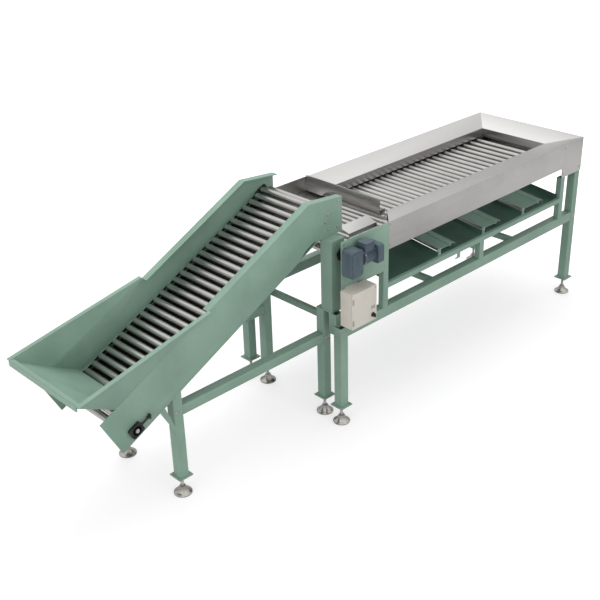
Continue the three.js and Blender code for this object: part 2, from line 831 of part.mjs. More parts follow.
function troughSide(slantedFront) {
  const full = troughPanel([troughFrontX, tableRearX], panelBottom);
  const beyond = tableRearX + 2 * overrun;
  const covers = [
    [sheet - tableHalfWidth, rimHeight - coverTopDrop],
    [panelLip - tableHalfWidth + overrun, rimHeight - shoulderDrop / 2],
  ].map(([y, z]) => box([coverFrontX, beyond], [-tableHalfWidth - overrun, y], [panelBottom - overrun, z]));
  const front = prismXY(
    [
      [troughFrontX - overrun, shoulderPoints[2][0] + sheet + overrun],
      [troughFrontX - overrun, sheet - tableHalfWidth],
      [troughFrontX, sheet - tableHalfWidth],
      [slantedFront, -troughInnerHalfWidth],
      [slantedFront, shoulderPoints[2][0] + sheet + overrun],
    ],
    [trackTop + sheet, rimHeight + overrun],
  );
  const end = prismXY(endPlan(seat), everyHeight);
  return cut(full, front, end, ...covers);
}

add("trough_side_near", join(troughSide(nearShoulderFrontX), ...chainChannel()), stainless);

// The far side has a plain wall and a flat shelf before the shoulder starts
const farWallInner = tableHalfWidth - sheet;

function boss([x, z]) {
  const ring = rodY(bossRadius, [farWallInner - bossLength, farWallInner + sheet / 2], [x, z]);
  const bore = rodY(shaftRadius + bearingGap, [farWallInner - bossLength - overrun, farWallInner], [x, z]);
  return cut(ring, bore);
}

const driveShaft = [sortingDriveX, sortingShaftZ];
const tailShaft = [sortingTailX, sortingShaftZ];
const wallY = [farWallInner, tableHalfWidth];
const shelfY = [shelfInnerHalfWidth, farWallInner + sheet / 2];
const beforeShoulder = box([0, shoulderFrontX], [-tableHalfWidth - overrun, 0], everyHeight);
const farShoulder = mirrored(cut(troughSide(shoulderFrontX), beforeShoulder));
const farSide = join(
  farShoulder,
  mirrored(join(...chainChannel())),
  box([motorPlateFrontX, troughFrontX], wallY, [motorPlateBottom, rimHeight]),
  box([troughFrontX - sheet, shoulderFrontX + sheet], wallY, [panelBottom, rimHeight]),
  box([shelfFrontX, shoulderFrontX + sheet], shelfY, [shelfTop - sheet, shelfTop]),
  boss(driveShaft),
);
add("trough_side_far", farSide, stainless);

// The far end of the trough: its wall, its shoulder cut along the mitres, and the two corner covers
const coverBottom = rimHeight - coverDepth;
const endProfile = folded(
  [
    [tableRearX, coverBottom],
    [tableRearX, rimHeight],
    [innerEndX, shoulderInnerZ],
    [innerEndX, innerWallBottom],
  ],
  sheet,
);
const mitreWaste = prismXY(
  [
    [innerEndX - overrun, -troughInnerHalfWidth],
    [innerEndX, -troughInnerHalfWidth],
    [tableRearX, -tableHalfWidth],
    [tableRearX, -tableHalfWidth - overrun],
    [innerEndX - overrun, -tableHalfWidth - overrun],
  ],
  [innerWallBottom - overrun, rimHeight + overrun],
);
const endSheet = prismXZ(endProfile, [-tableHalfWidth, tableHalfWidth]);
const coverZ = [coverBottom, rimHeight - coverTopDrop - seat];
const coverSpans = [[coverFrontX + seat, tableRearX], wallY, coverZ];
const cover = join(box(...coverSpans), boss(tailShaft));
const wasteFar = mirrored(join(mitreWaste));
add("trough_end", join(cut(endSheet, mitreWaste, wasteFar), cover, mirrored(cover)), stainless);

// The sorting conveyor: its gaps widen toward the far end
const span = sortingTailX - sortingDriveX;
const sortingPlaces = [sortingDriveX + sortingFirstPitch];
while (sortingPlaces.at(-1) < sortingTailX - sortingLastGap) {
  const share = (sortingPlaces.at(-1) - sortingDriveX) / span;
  const growth = sortingPitchGrowth * share ** sortingGrowthPower;
  sortingPlaces.push(sortingPlaces.at(-1) + sortingFirstPitch + growth);
}
const returnPitch = span / sortingReturnCount;
const sortingReturnPlaces = Array.from(
  { length: sortingReturnCount - 1 },
  (_, i) => sortingDriveX + returnPitch * (i + 1),
);
const sortingUpper = rollerRun(sortingPlaces, sortingRollerHalfLength, rollerSides);
const sortingReturn = rollerRun(sortingReturnPlaces, sortingRollerHalfLength, returnRollerSides);
add("sorting_rollers_upper", sortingUpper, rollerSteel).position.z = sortingAxisZ;
add("sorting_rollers_return", sortingReturn, rollerSteel).position.z = sortingReturnZ;

const sortingEnd = farWallInner - shaftEndGap;
const sortingStep = sortingFirstPitch / sortingRadius;
const driveWrap = wrapShaft({
  radius: sortingRadius,
  turns: Array.from({ length: sortingWrapSteps + 1 }, (_, i) => -i * sortingStep),
  halfLength: sortingRollerHalfLength,
  ends: [-sortingEnd + plateThickness, sortingEnd],
  sprockets: [sprocket(driveSprocketRadius, drivePlane), sprocket(driveSprocketRadius, transferPlane)],
});
const sortingTailWrap = wrapShaft({
  radius: sortingRadius,
  turns: [0, Math.PI / 2, Math.PI],
  halfLength: sortingRollerHalfLength,
  ends: [-sortingEnd, sortingEnd],
});
add("sorting_drive_shaft", driveWrap, rollerSteel).position.set(sortingDriveX, 0, sortingShaftZ);
add("sorting_tail_shaft", sortingTailWrap, rollerSteel).position.set(sortingTailX, 0, sortingShaftZ);

// The motor plate with its post, the geared motor and the two chains
const motorPlateY = [-tableHalfWidth, plateThickness - tableHalfWidth];
const motorPlateRear = troughFrontX - seat;
const trayRailY = [-tableHalfWidth, trayRailWidth - tableHalfWidth];
const motorPlateInner = motorPlateY[1];
const bossEnd = motorPlateInner + bossLength;
const motorBoss = rodY(bossRadius, [motorPlateInner - plateThickness / 2, bossEnd], driveShaft);
const bossBore = rodY(shaftRadius + bearingGap, [motorPlateInner, bossEnd + overrun], driveShaft);
const motorPostX = [motorPlateRear - trayPostWidth, motorPlateRear];
const motorPost = tube([motorPostX, trayRailY, [baseRailTop + seat, panelBottom - sheet]], 2);
const motorPlate = join(
  box([motorPlateFrontX, motorPlateRear], motorPlateY, [motorPlateBottom, rimHeight]),
  motorPost,
  motorBoss,
);
const motorShaft = [motorShaftX, motorShaftZ];
const throughPlate = [motorPlateY[0] - overrun, motorPlateInner + overrun];
const motorBore = rodY(shaftRadius + discGap, throughPlate, motorShaft);
add("motor_plate", cut(motorPlate, bossBore, motorBore), sage);

const gearboxInner = -tableHalfWidth - gearboxStandOff;
const gearboxOuter = gearboxInner - gearboxDepth;
const gearboxX = [motorShaftX - gearboxBeforeShaft, motorShaftX - gearboxBeforeShaft + gearboxLength];
const gearboxZ = [motorShaftZ - gearboxBelowShaft, motorShaftZ - gearboxBelowShaft + gearboxHeight];
const motorAxis = [-motorAxisHalfWidth, motorShaftZ];
const fanCoverSize = 2 * (motorRadius + fanCoverStep);
const motorStart = gearboxX[1] - overrun;
const motorEnd = gearboxX[1] + motorLength;
const spigotEnd = -tableHalfWidth - seat;
const spigot = rodY(spigotRadius, [gearboxInner - overrun, spigotEnd], motorShaft, discSides);
const spigotHole = [gearboxInner + shaftEndGap, spigotEnd + overrun];
const spigotBore = rodY(shaftRadius + bearingGap, spigotHole, motorShaft);
const terminalX = around(gearboxX[1] + motorLength / 2, terminalBoxLength);
const terminalZ = [motorShaftZ, motorShaftZ + motorRadius + terminalBoxHeight];
const gearMotor = join(
  box(gearboxX, [gearboxOuter, gearboxInner], gearboxZ),
  spigot,
  rodX(motorRadius, [motorStart, motorEnd + overrun], motorAxis, motorSides),
  box([motorEnd, motorEnd + fanCoverLength], around(motorAxis[0], fanCoverSize), around(motorAxis[1], fanCoverSize)),
  box(terminalX, around(motorAxis[0], terminalBoxWidth), terminalZ),
);
add("gear_motor", cut(gearMotor, spigotBore), motorPaint);

const stubEnds = [spigotEnd - shaftInSpigot, drivePlane + chainWidth];
const stub = join(rodY(shaftRadius, stubEnds, [0, 0]), sprocket(motorSprocketRadius, drivePlane));
add("motor_sprocket", stub, castBlack).position.set(motorShaftX, 0, motorShaftZ);

const motorCircle = { x: motorShaftX, z: motorShaftZ, radius: motorSprocketRadius };
const driveCircle = { x: sortingDriveX, z: sortingShaftZ, radius: driveSprocketRadius };
const headCircle = { x: headShaft[0], z: headShaft[1], radius: headSprocketRadius };
add("drive_chain", chainLoop([motorCircle, driveCircle], drivePlane), castBlack);
add("elevator_chain", chainLoop([driveCircle, headCircle], transferPlane), castBlack);

// The control box on its bracket, its door and the switch knob
const boxBack = -tableHalfWidth - boxStandOff;
const boxFront = boxBack - boxDepth;
const boxSpan = [boxX, boxX + boxWidth];
const boxZ = [boxBottom, boxBottom + boxHeight];
const boxMiddleX = boxX + boxWidth / 2;
const bracketZ = [boxZ[1] - bracketDrop, boxZ[1] - boxWall];
const glands = [-1, 1].map((side) => {
  const gland = new THREE.CylinderGeometry(glandRadius, glandRadius, glandLength + boxWall, shaftSides);
  const middle = boxBottom - (glandLength - boxWall) / 2;
  const x = boxMiddleX + (side * glandSpacing) / 2;
  return gland.rotateX(Math.PI / 2).translate(x, boxBack - boxDepth / 2, middle);
});
const shell = cut(
  box(boxSpan, [boxFront, boxBack], boxZ),
  box(
    [boxSpan[0] + boxWall, boxSpan[1] - boxWall],
    [boxFront - overrun, boxBack - boxWall],
    [boxZ[0] + boxWall, boxZ[1] - boxWall],
  ),
);
const bracket = box(around(boxMiddleX, bracketWidth), [boxBack - boxWall / 2, spigotEnd], bracketZ);
add("control_box", join(shell, bracket, ...glands), boxPaint);
const doorY = [boxFront - seat - doorThickness, boxFront - seat];
add("control_box_door", box(boxSpan, doorY, boxZ), boxPaint);
const knobY = doorY[0] - seat;
const knobGripX = around(0, knobGripWidth);
const knobGripZ = around(0, knobRadius);
const knob = join(
  rodY(knobRadius, [-knobLength, 0], [0, 0], discSides),
  box(knobGripX, [-knobLength - knobGripHeight, -knobLength / 2], knobGripZ),
);
add("switch_knob", knob, blackPlastic).position.set(boxSpan[1] - knobInset, knobY, boxBottom + knobRise);

// The tray rails with their posts, and the pieces that lie across them on the slope
const chuteRise = THREE.MathUtils.degToRad(chuteRiseDegrees);
const chuteNear = -chuteHalfLength;

function tilted(geometry) {
  const slope = new THREE.Matrix4().makeRotationX(chuteRise).setPosition(0, chuteNear, trayRailTop + seat);
  return geometry.applyMatrix4(slope);
}

const farRailInner = tableHalfWidth - trayRailWidth;
const farRailTop = trayRailTop + (farRailInner - chuteNear) * Math.tan(chuteRise);
const rearPost = around(rearPostX, trayPostWidth);
const midPost = around(midPostX, trayPostWidth);
const postFoot = baseRailTop + seat;
const earFarEnd = chuteLength - earFarInset;
const earNear = [earNearInset, earNearInset + earThickness];
const earFar = [earFarEnd - earThickness, earFarEnd];

function trayRail(top, side, earSpan) {
  const y = side < 0 ? trayRailY : [farRailInner, farWallInner - seat];
  const low = top - trayRailHeight;
  const ears = flapRods.map((x) => {
    const ear = box(around(x, 2 * earHalfWidth), earSpan, [-earRoot, flapRodAbove + earHalfWidth]);
    const bore = rodY(
      flapRodRadius + earBoreGap,
      [earSpan[0] - overrun, earSpan[1] + overrun],
      [x, flapRodAbove],
      boreHoleSides,
    );
    return tilted(cut(ear, bore));
  });
  const inside = [y[0] + tubeWall, y[1] - tubeWall];
  const open = box([troughFrontX - overrun, rearPost[1] + overrun], inside, [low - overrun, top - tubeWall]);
  return join(
    cut(box([troughFrontX, rearPost[1]], y, [low, top]), open),
    tube([midPost, y, [postFoot, low + tubeWall]], 2),
    tube([rearPost, y, [postFoot, coverBottom - seat]], 2),
    ...ears,
  );
}

// The lever that hangs under the near rail, with its hook turned toward the hopper
const leverTop = trayRailTop - trayRailHeight / 2;
const leverBottom = trayRailTop - trayRailHeight - leverHang;
const leverSpan = [trayRailY[0], trayRailY[0] + leverThickness];
const leverLeft = leverX - leverWidth / 2;
const lever = join(
  box(around(leverX, leverWidth), leverSpan, [leverBottom, leverTop]),
  box([leverLeft - leverHook, leverLeft + leverThickness], leverSpan, [leverBottom, leverBottom + leverThickness]),
);
add("tray_rail_near", join(trayRail(trayRailTop, -1, earNear), lever), sage);
const farPostX = [troughFrontX - seat - trayPostWidth, troughFrontX + sheet];
const farPost = tube([farPostX, [farRailInner, farWallInner - seat], [postFoot, panelBottom - sheet]], 2);
add("tray_rail_far", join(trayRail(farRailTop, 1, earFar), farPost), sage);

// Each chute after the first starts under the divider flap before it, with a lower lip there
const chuteSpan = [0, chuteLength];
chuteSpans.forEach(([from, to], i) => {
  const lip = i > 0 ? chuteUnderLip : chuteLip;
  const outline = folded([[from, lip], [from, 0], [to, 0], [to, chuteLip]], chuteSheet);
  add(`chute_${i + 1}`, join(tilted(prismXZ(outline, chuteSpan))), sageDark);
});

const flapRodSpan = [flapRodInset, chuteLength + flapRodBeyond];
const flapBladeSpan = [flapBladeInset, chuteLength - flapBladeInset];
const flapRidgeSpan = [flapRidgeInset, chuteLength - flapRidgeInset];
flapRods.forEach((rod, i) => {
  const ridge = flapRidges[i];
  const top = [ridge, flapRidgeAbove];
  const blade = folded([[rod, flapRodAbove], top], flapSheet);
  const ridgeRod = rodY(flapRidgeRadius, flapRidgeSpan, top);
  const below = box(
    around(ridge, 2 * (flapRidgeRadius + overrun)),
    [flapRidgeSpan[0] - overrun, flapRidgeSpan[1] + overrun],
    [flapRidgeAbove - flapRidgeRadius - overrun, flapRidgeAbove - flapSheet / 2],
  );
  const flap = join(rodY(flapRodRadius, flapRodSpan, [rod, flapRodAbove]), prismXZ(blade, flapBladeSpan));
  add(`divider_flap_${i + 1}`, tilted(join(flap, cut(ridgeRod, below))), sage);
});

// The feed gate across the belt and the skirt that closes the near side of the feed
const gateMiddle = [gateX - gateLean / 2, (gateBottom + gateTop) / 2];
const gateOutline = folded([[gateX, gateBottom], gateMiddle, [gateX, gateTop]], sheet);
const gateNear = sheet + gateSideGap + gateShort - troughInnerHalfWidth;
const gateTab = box(
  [gateX - sheet, gateX + gateTabLength],
  [gateNear, gateNear + sheet],
  [gateBottom, gateBottom + gateTabHeight],
);
add("feed_gate", join(prismXZ(gateOutline, [gateNear, farWallInner - gateSideGap]), gateTab), stainless);

const skirtOutline = folded(
  [
    [-skirtInnerHalfWidth, skirtTop],
    [-skirtOuterHalfWidth, skirtTop - skirtSlopeDrop],
    [-skirtOuterHalfWidth, skirtTop - skirtSlopeDrop - skirtFold],
    [motorPlateInner + seat, skirtTop - skirtSlopeDrop - skirtFold],
  ],
  sheet,
);
add("feed_skirt_near", join(prismYZ(skirtOutline, [skirtFrontX, skirtRearX])), stainless);

// The levelling feet: a cone with a stem that goes up through the base plate, and a nut under the plate
function foot() {
  const profile = [
    [0, 0],
    [footRadius, 0],
    [footRadius, footDiscHeight],
    [footNeckRadius, footDiscHeight + footConeHeight],
    [footStemRadius, footDiscHeight + footConeHeight],
    [footStemRadius, footClearance + basePlateThickness + footStemInside],
    [0, footClearance + basePlateThickness + footStemInside],
  ].map(([radius, z]) => new THREE.Vector2(radius, z));
  const body = new THREE.LatheGeometry(profile, footSides).rotateX(Math.PI / 2);
  const nut = new THREE.CylinderGeometry(footNutRadius, footNutRadius, footNutHeight, nutSides);
  const nutMiddle = footClearance - seat - footNutHeight / 2;
  return join(body, nut.rotateX(Math.PI / 2).translate(0, 0, nutMiddle));
}

const footPlaces = {
  elevator_front: [elevatorFrontLegX, elevatorLegCentre],
  elevator_rear: [elevatorRearLegX, elevatorLegCentre],
  table_front: [tableFrontLegX, tableLegCentre],
  table_rear: [tableRearLegX, tableLegCentre],
};
for (const [place, [x, y]] of Object.entries(footPlaces)) {
  add(`levelling_foot_${place}_near`, foot(), stainless).position.set(x, -y, 0);
  add(`levelling_foot_${place}_far`, foot(), stainless).position.set(x, y, 0);
}

// The middle of the footprint goes to the origin
machine.updateMatrixWorld(true);
const bounds = new THREE.Box3().setFromObject(machine, true);
const middle = bounds.getCenter(new THREE.Vector3());
machine.position.set(-middle.x, -middle.y, -bounds.min.z);

export default machine;
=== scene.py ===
import json
import math
import bpy
import bmesh
import numpy as np
from mathutils import Matrix, Vector


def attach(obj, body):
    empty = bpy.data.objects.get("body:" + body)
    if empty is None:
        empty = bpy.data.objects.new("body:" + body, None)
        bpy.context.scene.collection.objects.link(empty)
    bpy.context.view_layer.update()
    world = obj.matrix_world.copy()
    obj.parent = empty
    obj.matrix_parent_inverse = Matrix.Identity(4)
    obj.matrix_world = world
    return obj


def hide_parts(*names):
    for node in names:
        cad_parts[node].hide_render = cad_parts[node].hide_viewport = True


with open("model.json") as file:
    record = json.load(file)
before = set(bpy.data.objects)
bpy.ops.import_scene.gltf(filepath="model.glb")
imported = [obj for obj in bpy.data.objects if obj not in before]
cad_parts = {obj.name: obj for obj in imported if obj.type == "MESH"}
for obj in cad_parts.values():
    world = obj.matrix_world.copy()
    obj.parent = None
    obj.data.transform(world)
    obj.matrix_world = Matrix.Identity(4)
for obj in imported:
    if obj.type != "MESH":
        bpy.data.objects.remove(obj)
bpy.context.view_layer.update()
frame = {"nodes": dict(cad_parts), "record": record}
print("frame loaded:", len(frame["nodes"]), "nodes")

# The machine's own places, in metres: the same values that the solids are made from
shift = np.array([-0.38035, 0.05995, 0.0])
incline = math.radians(26.5)
along = np.array([math.cos(incline), 0, math.sin(incline)])
above = np.array([-math.sin(incline), 0, math.cos(incline)])
elevatorTail = np.array([-1.431, 0, 0.590]) + shift
elevatorPitch = 0.05715
elevatorRadius = elevatorPitch * 2.5 / math.pi
elevatorHead = elevatorTail + 29 * elevatorPitch * along
elevatorHalf = 0.262
sortingPitch = 0.054
sortingRadius = sortingPitch * 3 / math.pi
tableStart, tableEnd, tableReach = 0.2, 2.4, 2.2
tableTop, tableHalf = 1.125, 0.300
sortingShaftZ = tableTop - sortingRadius
chuteRise = math.radians(7)


# Materials
class Wire:
    def __init__(self, shader, socket):
        self.shader, self.socket = shader, socket

    def math(self, operation, first, second=0.0, third=0.0):
        return self.shader.node("ShaderNodeMath", {"operation": operation}, {0: first, 1: second, 2: third})

    def __add__(self, other): return self.math("ADD", self, other)
    def __radd__(self, other): return self.math("ADD", other, self)
    def __sub__(self, other): return self.math("SUBTRACT", self, other)
    def __rsub__(self, other): return self.math("SUBTRACT", other, self)
    def __mul__(self, other): return self.math("MULTIPLY", self, other)
    def __rmul__(self, other): return self.math("MULTIPLY", other, self)
    def __truediv__(self, other): return self.math("DIVIDE", self, other)
    def __pow__(self, other): return self.math("POWER", self, other)

    def clip(self, low, high):
        return self.math("MINIMUM", self.math("MAXIMUM", self, low), high)


class Shader:
    def __init__(self, name):
        self.material = bpy.data.materials.new(name)
        self.material.use_nodes = True
        self.tree = self.material.node_tree
        self.body = self.tree.nodes["Principled BSDF"]
        self.place = self.node("ShaderNodeTexCoord", {}, {}, "Object")

    def node(self, kind, settings, inputs, output=0):
        made = self.tree.nodes.new(kind)
        stops = settings.pop("stops", None)
        for key, value in settings.items():
            setattr(made, key, value)
        if stops:
            ramp = made.color_ramp
            while len(ramp.elements) < len(stops):
                ramp.elements.new(0.5)
            for element, (position, shade) in zip(ramp.elements, stops):
                element.position, element.color = position, (*shade, 1)
        for key, value in inputs.items():
            self.feed(made.inputs[key], value)
        return Wire(self, made.outputs[output])

    def feed(self, target, value):
        if isinstance(value, Wire):
            self.tree.links.new(value.socket, target)
        elif value is not None:
            target.default_value = value

    def stretched(self, scale):
        return self.node("ShaderNodeMapping", {}, {"Vector": self.place, "Scale": scale})

    def noise(self, scale, detail=3.0, stretch=None, rough=0.55):
        where = self.stretched(stretch) if stretch else self.place
        return self.node("ShaderNodeTexNoise", {},
                         {"Vector": where, "Scale": scale, "Detail": detail, "Roughness": rough})

    def ramp(self, value, low, high):
        return ((value - low) / (high - low)).clip(0.0, 1.0)

    def mix(self, share, first, second):
        return self.node("ShaderNodeMix", {"data_type": "RGBA"}, {0: share, 6: first, 7: second}, 2)

    # 1 on sharp outer edges, 0 on flats: how far the rounded normal leans from the true one
    def edges(self, radius):
        rounded = self.node("ShaderNodeBevel", {"samples": 4}, {"Radius": radius})
        true = self.node("ShaderNodeNewGeometry", {}, {}, "True Normal")
        close = self.node("ShaderNodeVectorMath", {"operation": "DOT_PRODUCT"}, {0: rounded, 1: true},
                          "Value")
        return self.ramp(1 - close, 0.03, 0.22)

    def facingUp(self):
        true = self.node("ShaderNodeNewGeometry", {}, {}, "True Normal")
        return self.node("ShaderNodeSeparateXYZ", {}, {0: true}, 2)

    # 1 for a ray from the camera, for a mirrored one and for one that went through glass
    def rays(self):
        path = self.tree.nodes.new("ShaderNodeLightPath")
        return [Wire(self, path.outputs[name])
                for name in ("Is Camera Ray", "Is Glossy Ray", "Is Transmission Ray")]

    def bump(self, height, strength, distance):
        return self.node("ShaderNodeBump", {}, {"Height": height, "Strength": strength,
                                                "Distance": distance})


def shade(rgb):
    return (*rgb, 1.0)


def paint(name, look):
    s = Shader(name)
    patches = s.noise(3.5, 4.0)
    dust = s.ramp(s.noise(9.0, 6.0, None, 0.7), 0.45, 0.8)
    specks = s.ramp(s.noise(160.0, 2.0), 0.70, 0.76)
    peel = s.noise(420.0, 2.0)
    # an edge mask: it carries a painted highlight along every sharp edge, and, broken by noise, the chipped
    # paint
    edgeMask = s.edges(look["edge"])
    chips = edgeMask * s.ramp(s.noise(55.0, 4.0), 0.50, 0.62)
    tone = s.mix(s.ramp(patches, 0.35, 0.65), shade(look["low"]), shade(look["high"]))
    # painted highlight: a lighter colour along every sharp edge
    tone = s.mix(edgeMask * 0.45, tone, shade(look["lip"]))
    tone = s.mix(dust * look["dust"], tone, shade(look["dusty"]))
    tone = s.mix(specks * 0.35, tone, shade(look["speck"]))
    tone = s.mix(chips * look["chips"], tone, shade(look["bare"]))
    s.feed(s.body.inputs["Base Color"], tone)
    s.feed(s.body.inputs["Roughness"], (look["rough"] + 0.16 * patches - 0.08 + dust * 0.12).clip(0.1, 0.9))
    s.feed(s.body.inputs["Metallic"], chips * (look["chips"] * 0.6))
    s.feed(s.body.inputs["Normal"], s.bump(peel * 0.7 + patches * 0.3, 0.10, 0.0004))
    s.body.inputs["Specular IOR Level"].default_value = 0.45
    return s.material


def brushed(name, look):
    s = Shader(name)
    grain = s.noise(1.0, 5.0, look["grain"], 0.65)
    fine = s.noise(1.0, 2.0, tuple(4 * value for value in look["grain"]))
    cloud = s.noise(look["cloud"], 3.0)
    smudge = s.ramp(s.noise(7.0, 6.0, None, 0.7), 0.52, 0.80)
    edgeMask = s.edges(0.0016)
    tone = s.mix(s.ramp(grain, 0.3, 0.7), shade(look["low"]), shade(look["high"]))
    tone = s.mix(s.ramp(cloud, 0.40, 0.66) * look["mottle"], tone, shade(look["warm"]))
    # painted highlight: faces turned upward take a lighter steel colour, as if lit from above
    if "highlightShare" in look:
        tone = s.mix(s.ramp(s.facingUp(), 0.15, 0.45) * look["highlightShare"], tone, shade(look["upwardHighlight"]))
    # painted highlight: a light line along every sharp edge of the steel
    tone = s.mix(edgeMask * 0.7, tone, shade(look["edge"]))
    s.feed(s.body.inputs["Base Color"], tone)
    s.body.inputs["Metallic"].default_value = look["metal"]
    s.feed(s.body.inputs["Roughness"],
           (look["rough"] + grain * 0.16 - 0.08 + smudge * 0.08).clip(0.05, 0.8))
    s.feed(s.body.inputs["Normal"], s.bump(grain * 0.6 + fine * 0.4, look["bump"], 0.0003))
    return s.material


def darkMetal(name, look):
    s = Shader(name)
    cast = s.noise(260.0, 4.0)
    grease = s.ramp(s.noise(24.0, 5.0, None, 0.7), 0.40, 0.70)
    edgeMask = s.edges(0.0012) * s.ramp(s.noise(70.0, 3.0), 0.35, 0.6)
    tone = s.mix(grease, shade(look["low"]), shade(look["high"]))
    tone = s.mix(edgeMask * 0.8, tone, shade(look["bare"]))
    s.feed(s.body.inputs["Base Color"], tone)
    s.feed(s.body.inputs["Metallic"], (look["metal"] + edgeMask * 0.4).clip(0.0, 1.0))
    s.feed(s.body.inputs["Roughness"], (look["rough"] + cast * 0.2 - 0.1 - grease * 0.1).clip(0.1, 0.9))
    s.feed(s.body.inputs["Normal"], s.bump(cast, look["bump"], 0.0005))
    return s.material


# each paint's look holds a lighter colour for its sharp edges, a painted highlight
sageLook = {"low": (0.194, 0.308, 0.242), "high": (0.240, 0.366, 0.292), "lip": (0.36, 0.48, 0.41),
            "dusty": (0.33, 0.39, 0.34), "speck": (0.12, 0.19, 0.15), "bare": (0.46, 0.47, 0.45),
            "edge": 0.0022, "dust": 0.12, "chips": 0.30, "rough": 0.42}
# the chutes: a darker green paint, darkened further as painted shade for the space under the table
chuteShadeLook = {"low": (0.030, 0.072, 0.052), "high": (0.052, 0.112, 0.084), "lip": (0.20, 0.32, 0.26),
             "dusty": (0.12, 0.17, 0.14), "speck": (0.02, 0.05, 0.04), "bare": (0.42, 0.43, 0.41),
             "edge": 0.0018, "dust": 0.20, "chips": 0.30, "rough": 0.40}
motorLook = {"low": (0.048, 0.074, 0.096), "high": (0.075, 0.108, 0.132), "lip": (0.20, 0.25, 0.29),
             "dusty": (0.16, 0.18, 0.20), "speck": (0.02, 0.03, 0.04), "bare": (0.40, 0.41, 0.42),
             "edge": 0.0018, "dust": 0.18, "chips": 0.35, "rough": 0.38}
boxLook = {"low": (0.58, 0.54, 0.48), "high": (0.66, 0.62, 0.56), "lip": (0.74, 0.71, 0.66),
           "dusty": (0.50, 0.48, 0.43), "speck": (0.42, 0.39, 0.34), "bare": (0.45, 0.45, 0.44),
           "edge": 0.0020, "dust": 0.16, "chips": 0.10, "rough": 0.48}
# the steel looks: faces turned upward get a painted highlight, in a share set for each look
steelLook = {"grain": (4.0, 420.0, 420.0), "low": (0.42, 0.412, 0.400), "high": (0.52, 0.512, 0.498),
             "warm": (0.35, 0.34, 0.325), "cloud": 2.4, "mottle": 0.55, "edge": (0.86, 0.85, 0.83),
             "metal": 0.95, "rough": 0.30, "bump": 0.07, "highlightShare": 0.45, "upwardHighlight": (0.80, 0.79, 0.77)}
# the end's steel: grain across Y, and the full painted highlight on its upward faces
endLook = {**steelLook, "grain": (420.0, 4.0, 420.0), "highlightShare": 1.0}
# the far side's steel: the same steel with a stronger painted highlight on its upward faces
farLitLook = {**steelLook, "highlightShare": 0.9}
rollerLook = {"grain": (90.0, 2.0, 90.0), "low": (0.48, 0.472, 0.455), "high": (0.64, 0.628, 0.61),
              "warm": (0.40, 0.385, 0.36), "cloud": 5.0, "mottle": 0.40, "edge": (0.80, 0.79, 0.77),
              "metal": 0.98, "rough": 0.30, "bump": 0.004}
footLook = {"grain": (90.0, 90.0, 520.0), "low": (0.40, 0.385, 0.36), "high": (0.56, 0.545, 0.52),
            "warm": (0.34, 0.31, 0.27), "cloud": 9.0, "mottle": 0.35, "edge": (0.85, 0.83, 0.79),
            "metal": 0.95, "rough": 0.26, "bump": 0.06}
castLook = {"low": (0.018, 0.018, 0.019), "high": (0.050, 0.047, 0.044), "bare": (0.36, 0.34, 0.31),
            "metal": 0.55, "rough": 0.46, "bump": 0.35}
chainLook = {"low": (0.040, 0.036, 0.032), "high": (0.110, 0.100, 0.088), "bare": (0.48, 0.45, 0.41),
             "metal": 0.85, "rough": 0.38, "bump": 0.20}
plasticLook = {"low": (0.012, 0.012, 0.013), "high": (0.026, 0.026, 0.027), "bare": (0.07, 0.07, 0.07),
               "metal": 0.0, "rough": 0.45, "bump": 0.15}

sagePaint = paint("sage_paint", sageLook)
chuteShadePaint = paint("chute_paint_shaded", chuteShadeLook)
motorPaint = paint("motor_paint", motorLook)
boxPaint = paint("box_paint", boxLook)
troughSteel = brushed("trough_steel", steelLook)
endSteel = brushed("end_steel", endLook)
farLitSteel = brushed("far_steel_lit", farLitLook)
rollerSteel = brushed("roller_steel", rollerLook)
footSteel = brushed("foot_steel", footLook)
castMetal = darkMetal("cast_metal", castLook)
chainMetal = darkMetal("chain_metal", chainLook)
blackPlastic = darkMetal("black_plastic", plasticLook)


# Shapes
bodyOf = {node: body for body, nodes in frame["record"]["behaviour"]["bodies"].items() for node in nodes}


# a finished piece: points and faces into a mesh, faces turned out, smooth below the sharp angle
def addPiece(name, parts, material, body, replaced=(), sharp=35.0):
    points, faces = joined(parts)
    mesh = bpy.data.meshes.new(name)
    mesh.from_pydata(points.tolist(), [], faces)
    work = bmesh.new()
    work.from_mesh(mesh)
    bmesh.ops.recalc_face_normals(work, faces=work.faces)
    for edge in work.edges:
        edge.smooth = len(edge.link_faces) == 2 and edge.calc_face_angle(3.0) < math.radians(sharp)
    for face in work.faces:
        face.smooth = True
    work.to_mesh(mesh)
    work.free()
    mesh.materials.append(material)
    piece = bpy.data.objects.new(name, mesh)
    bpy.context.scene.collection.objects.link(piece)
    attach(piece, body)
    if replaced:
        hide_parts(*replaced)
    return piece


def joined(parts):
    points, faces, count = [], [], 0
    for partPoints, partFaces in parts:
        points.append(np.asarray(partPoints, float).reshape(-1, 3))
        faces += [[int(i) + count for i in face] for face in partFaces]
        count += len(points[-1])
    return np.concatenate(points), faces


# rings of points, each joined to the next: P(i, j) on a grid, closed across j, flat caps at both ends
def rings(grid):
    rows, sides = grid.shape[:2]
    index = np.arange(rows * sides).reshape(rows, sides)
    ahead = np.roll(index, -1, axis=1)
    quads = np.stack([index[:-1], ahead[:-1], ahead[1:], index[1:]], axis=-1).reshape(-1, 4)
    return grid.reshape(-1, 3), [*quads.tolist(), index[0][::-1].tolist(), index[-1].tolist()]


def axes(direction):
    way = np.asarray(direction, float) / np.linalg.norm(direction)
    side = np.cross(way, [0, 0, 1] if abs(way[2]) < 0.9 else [1, 0, 0])
    side /= np.linalg.norm(side)
    return way, side, np.cross(way, side)


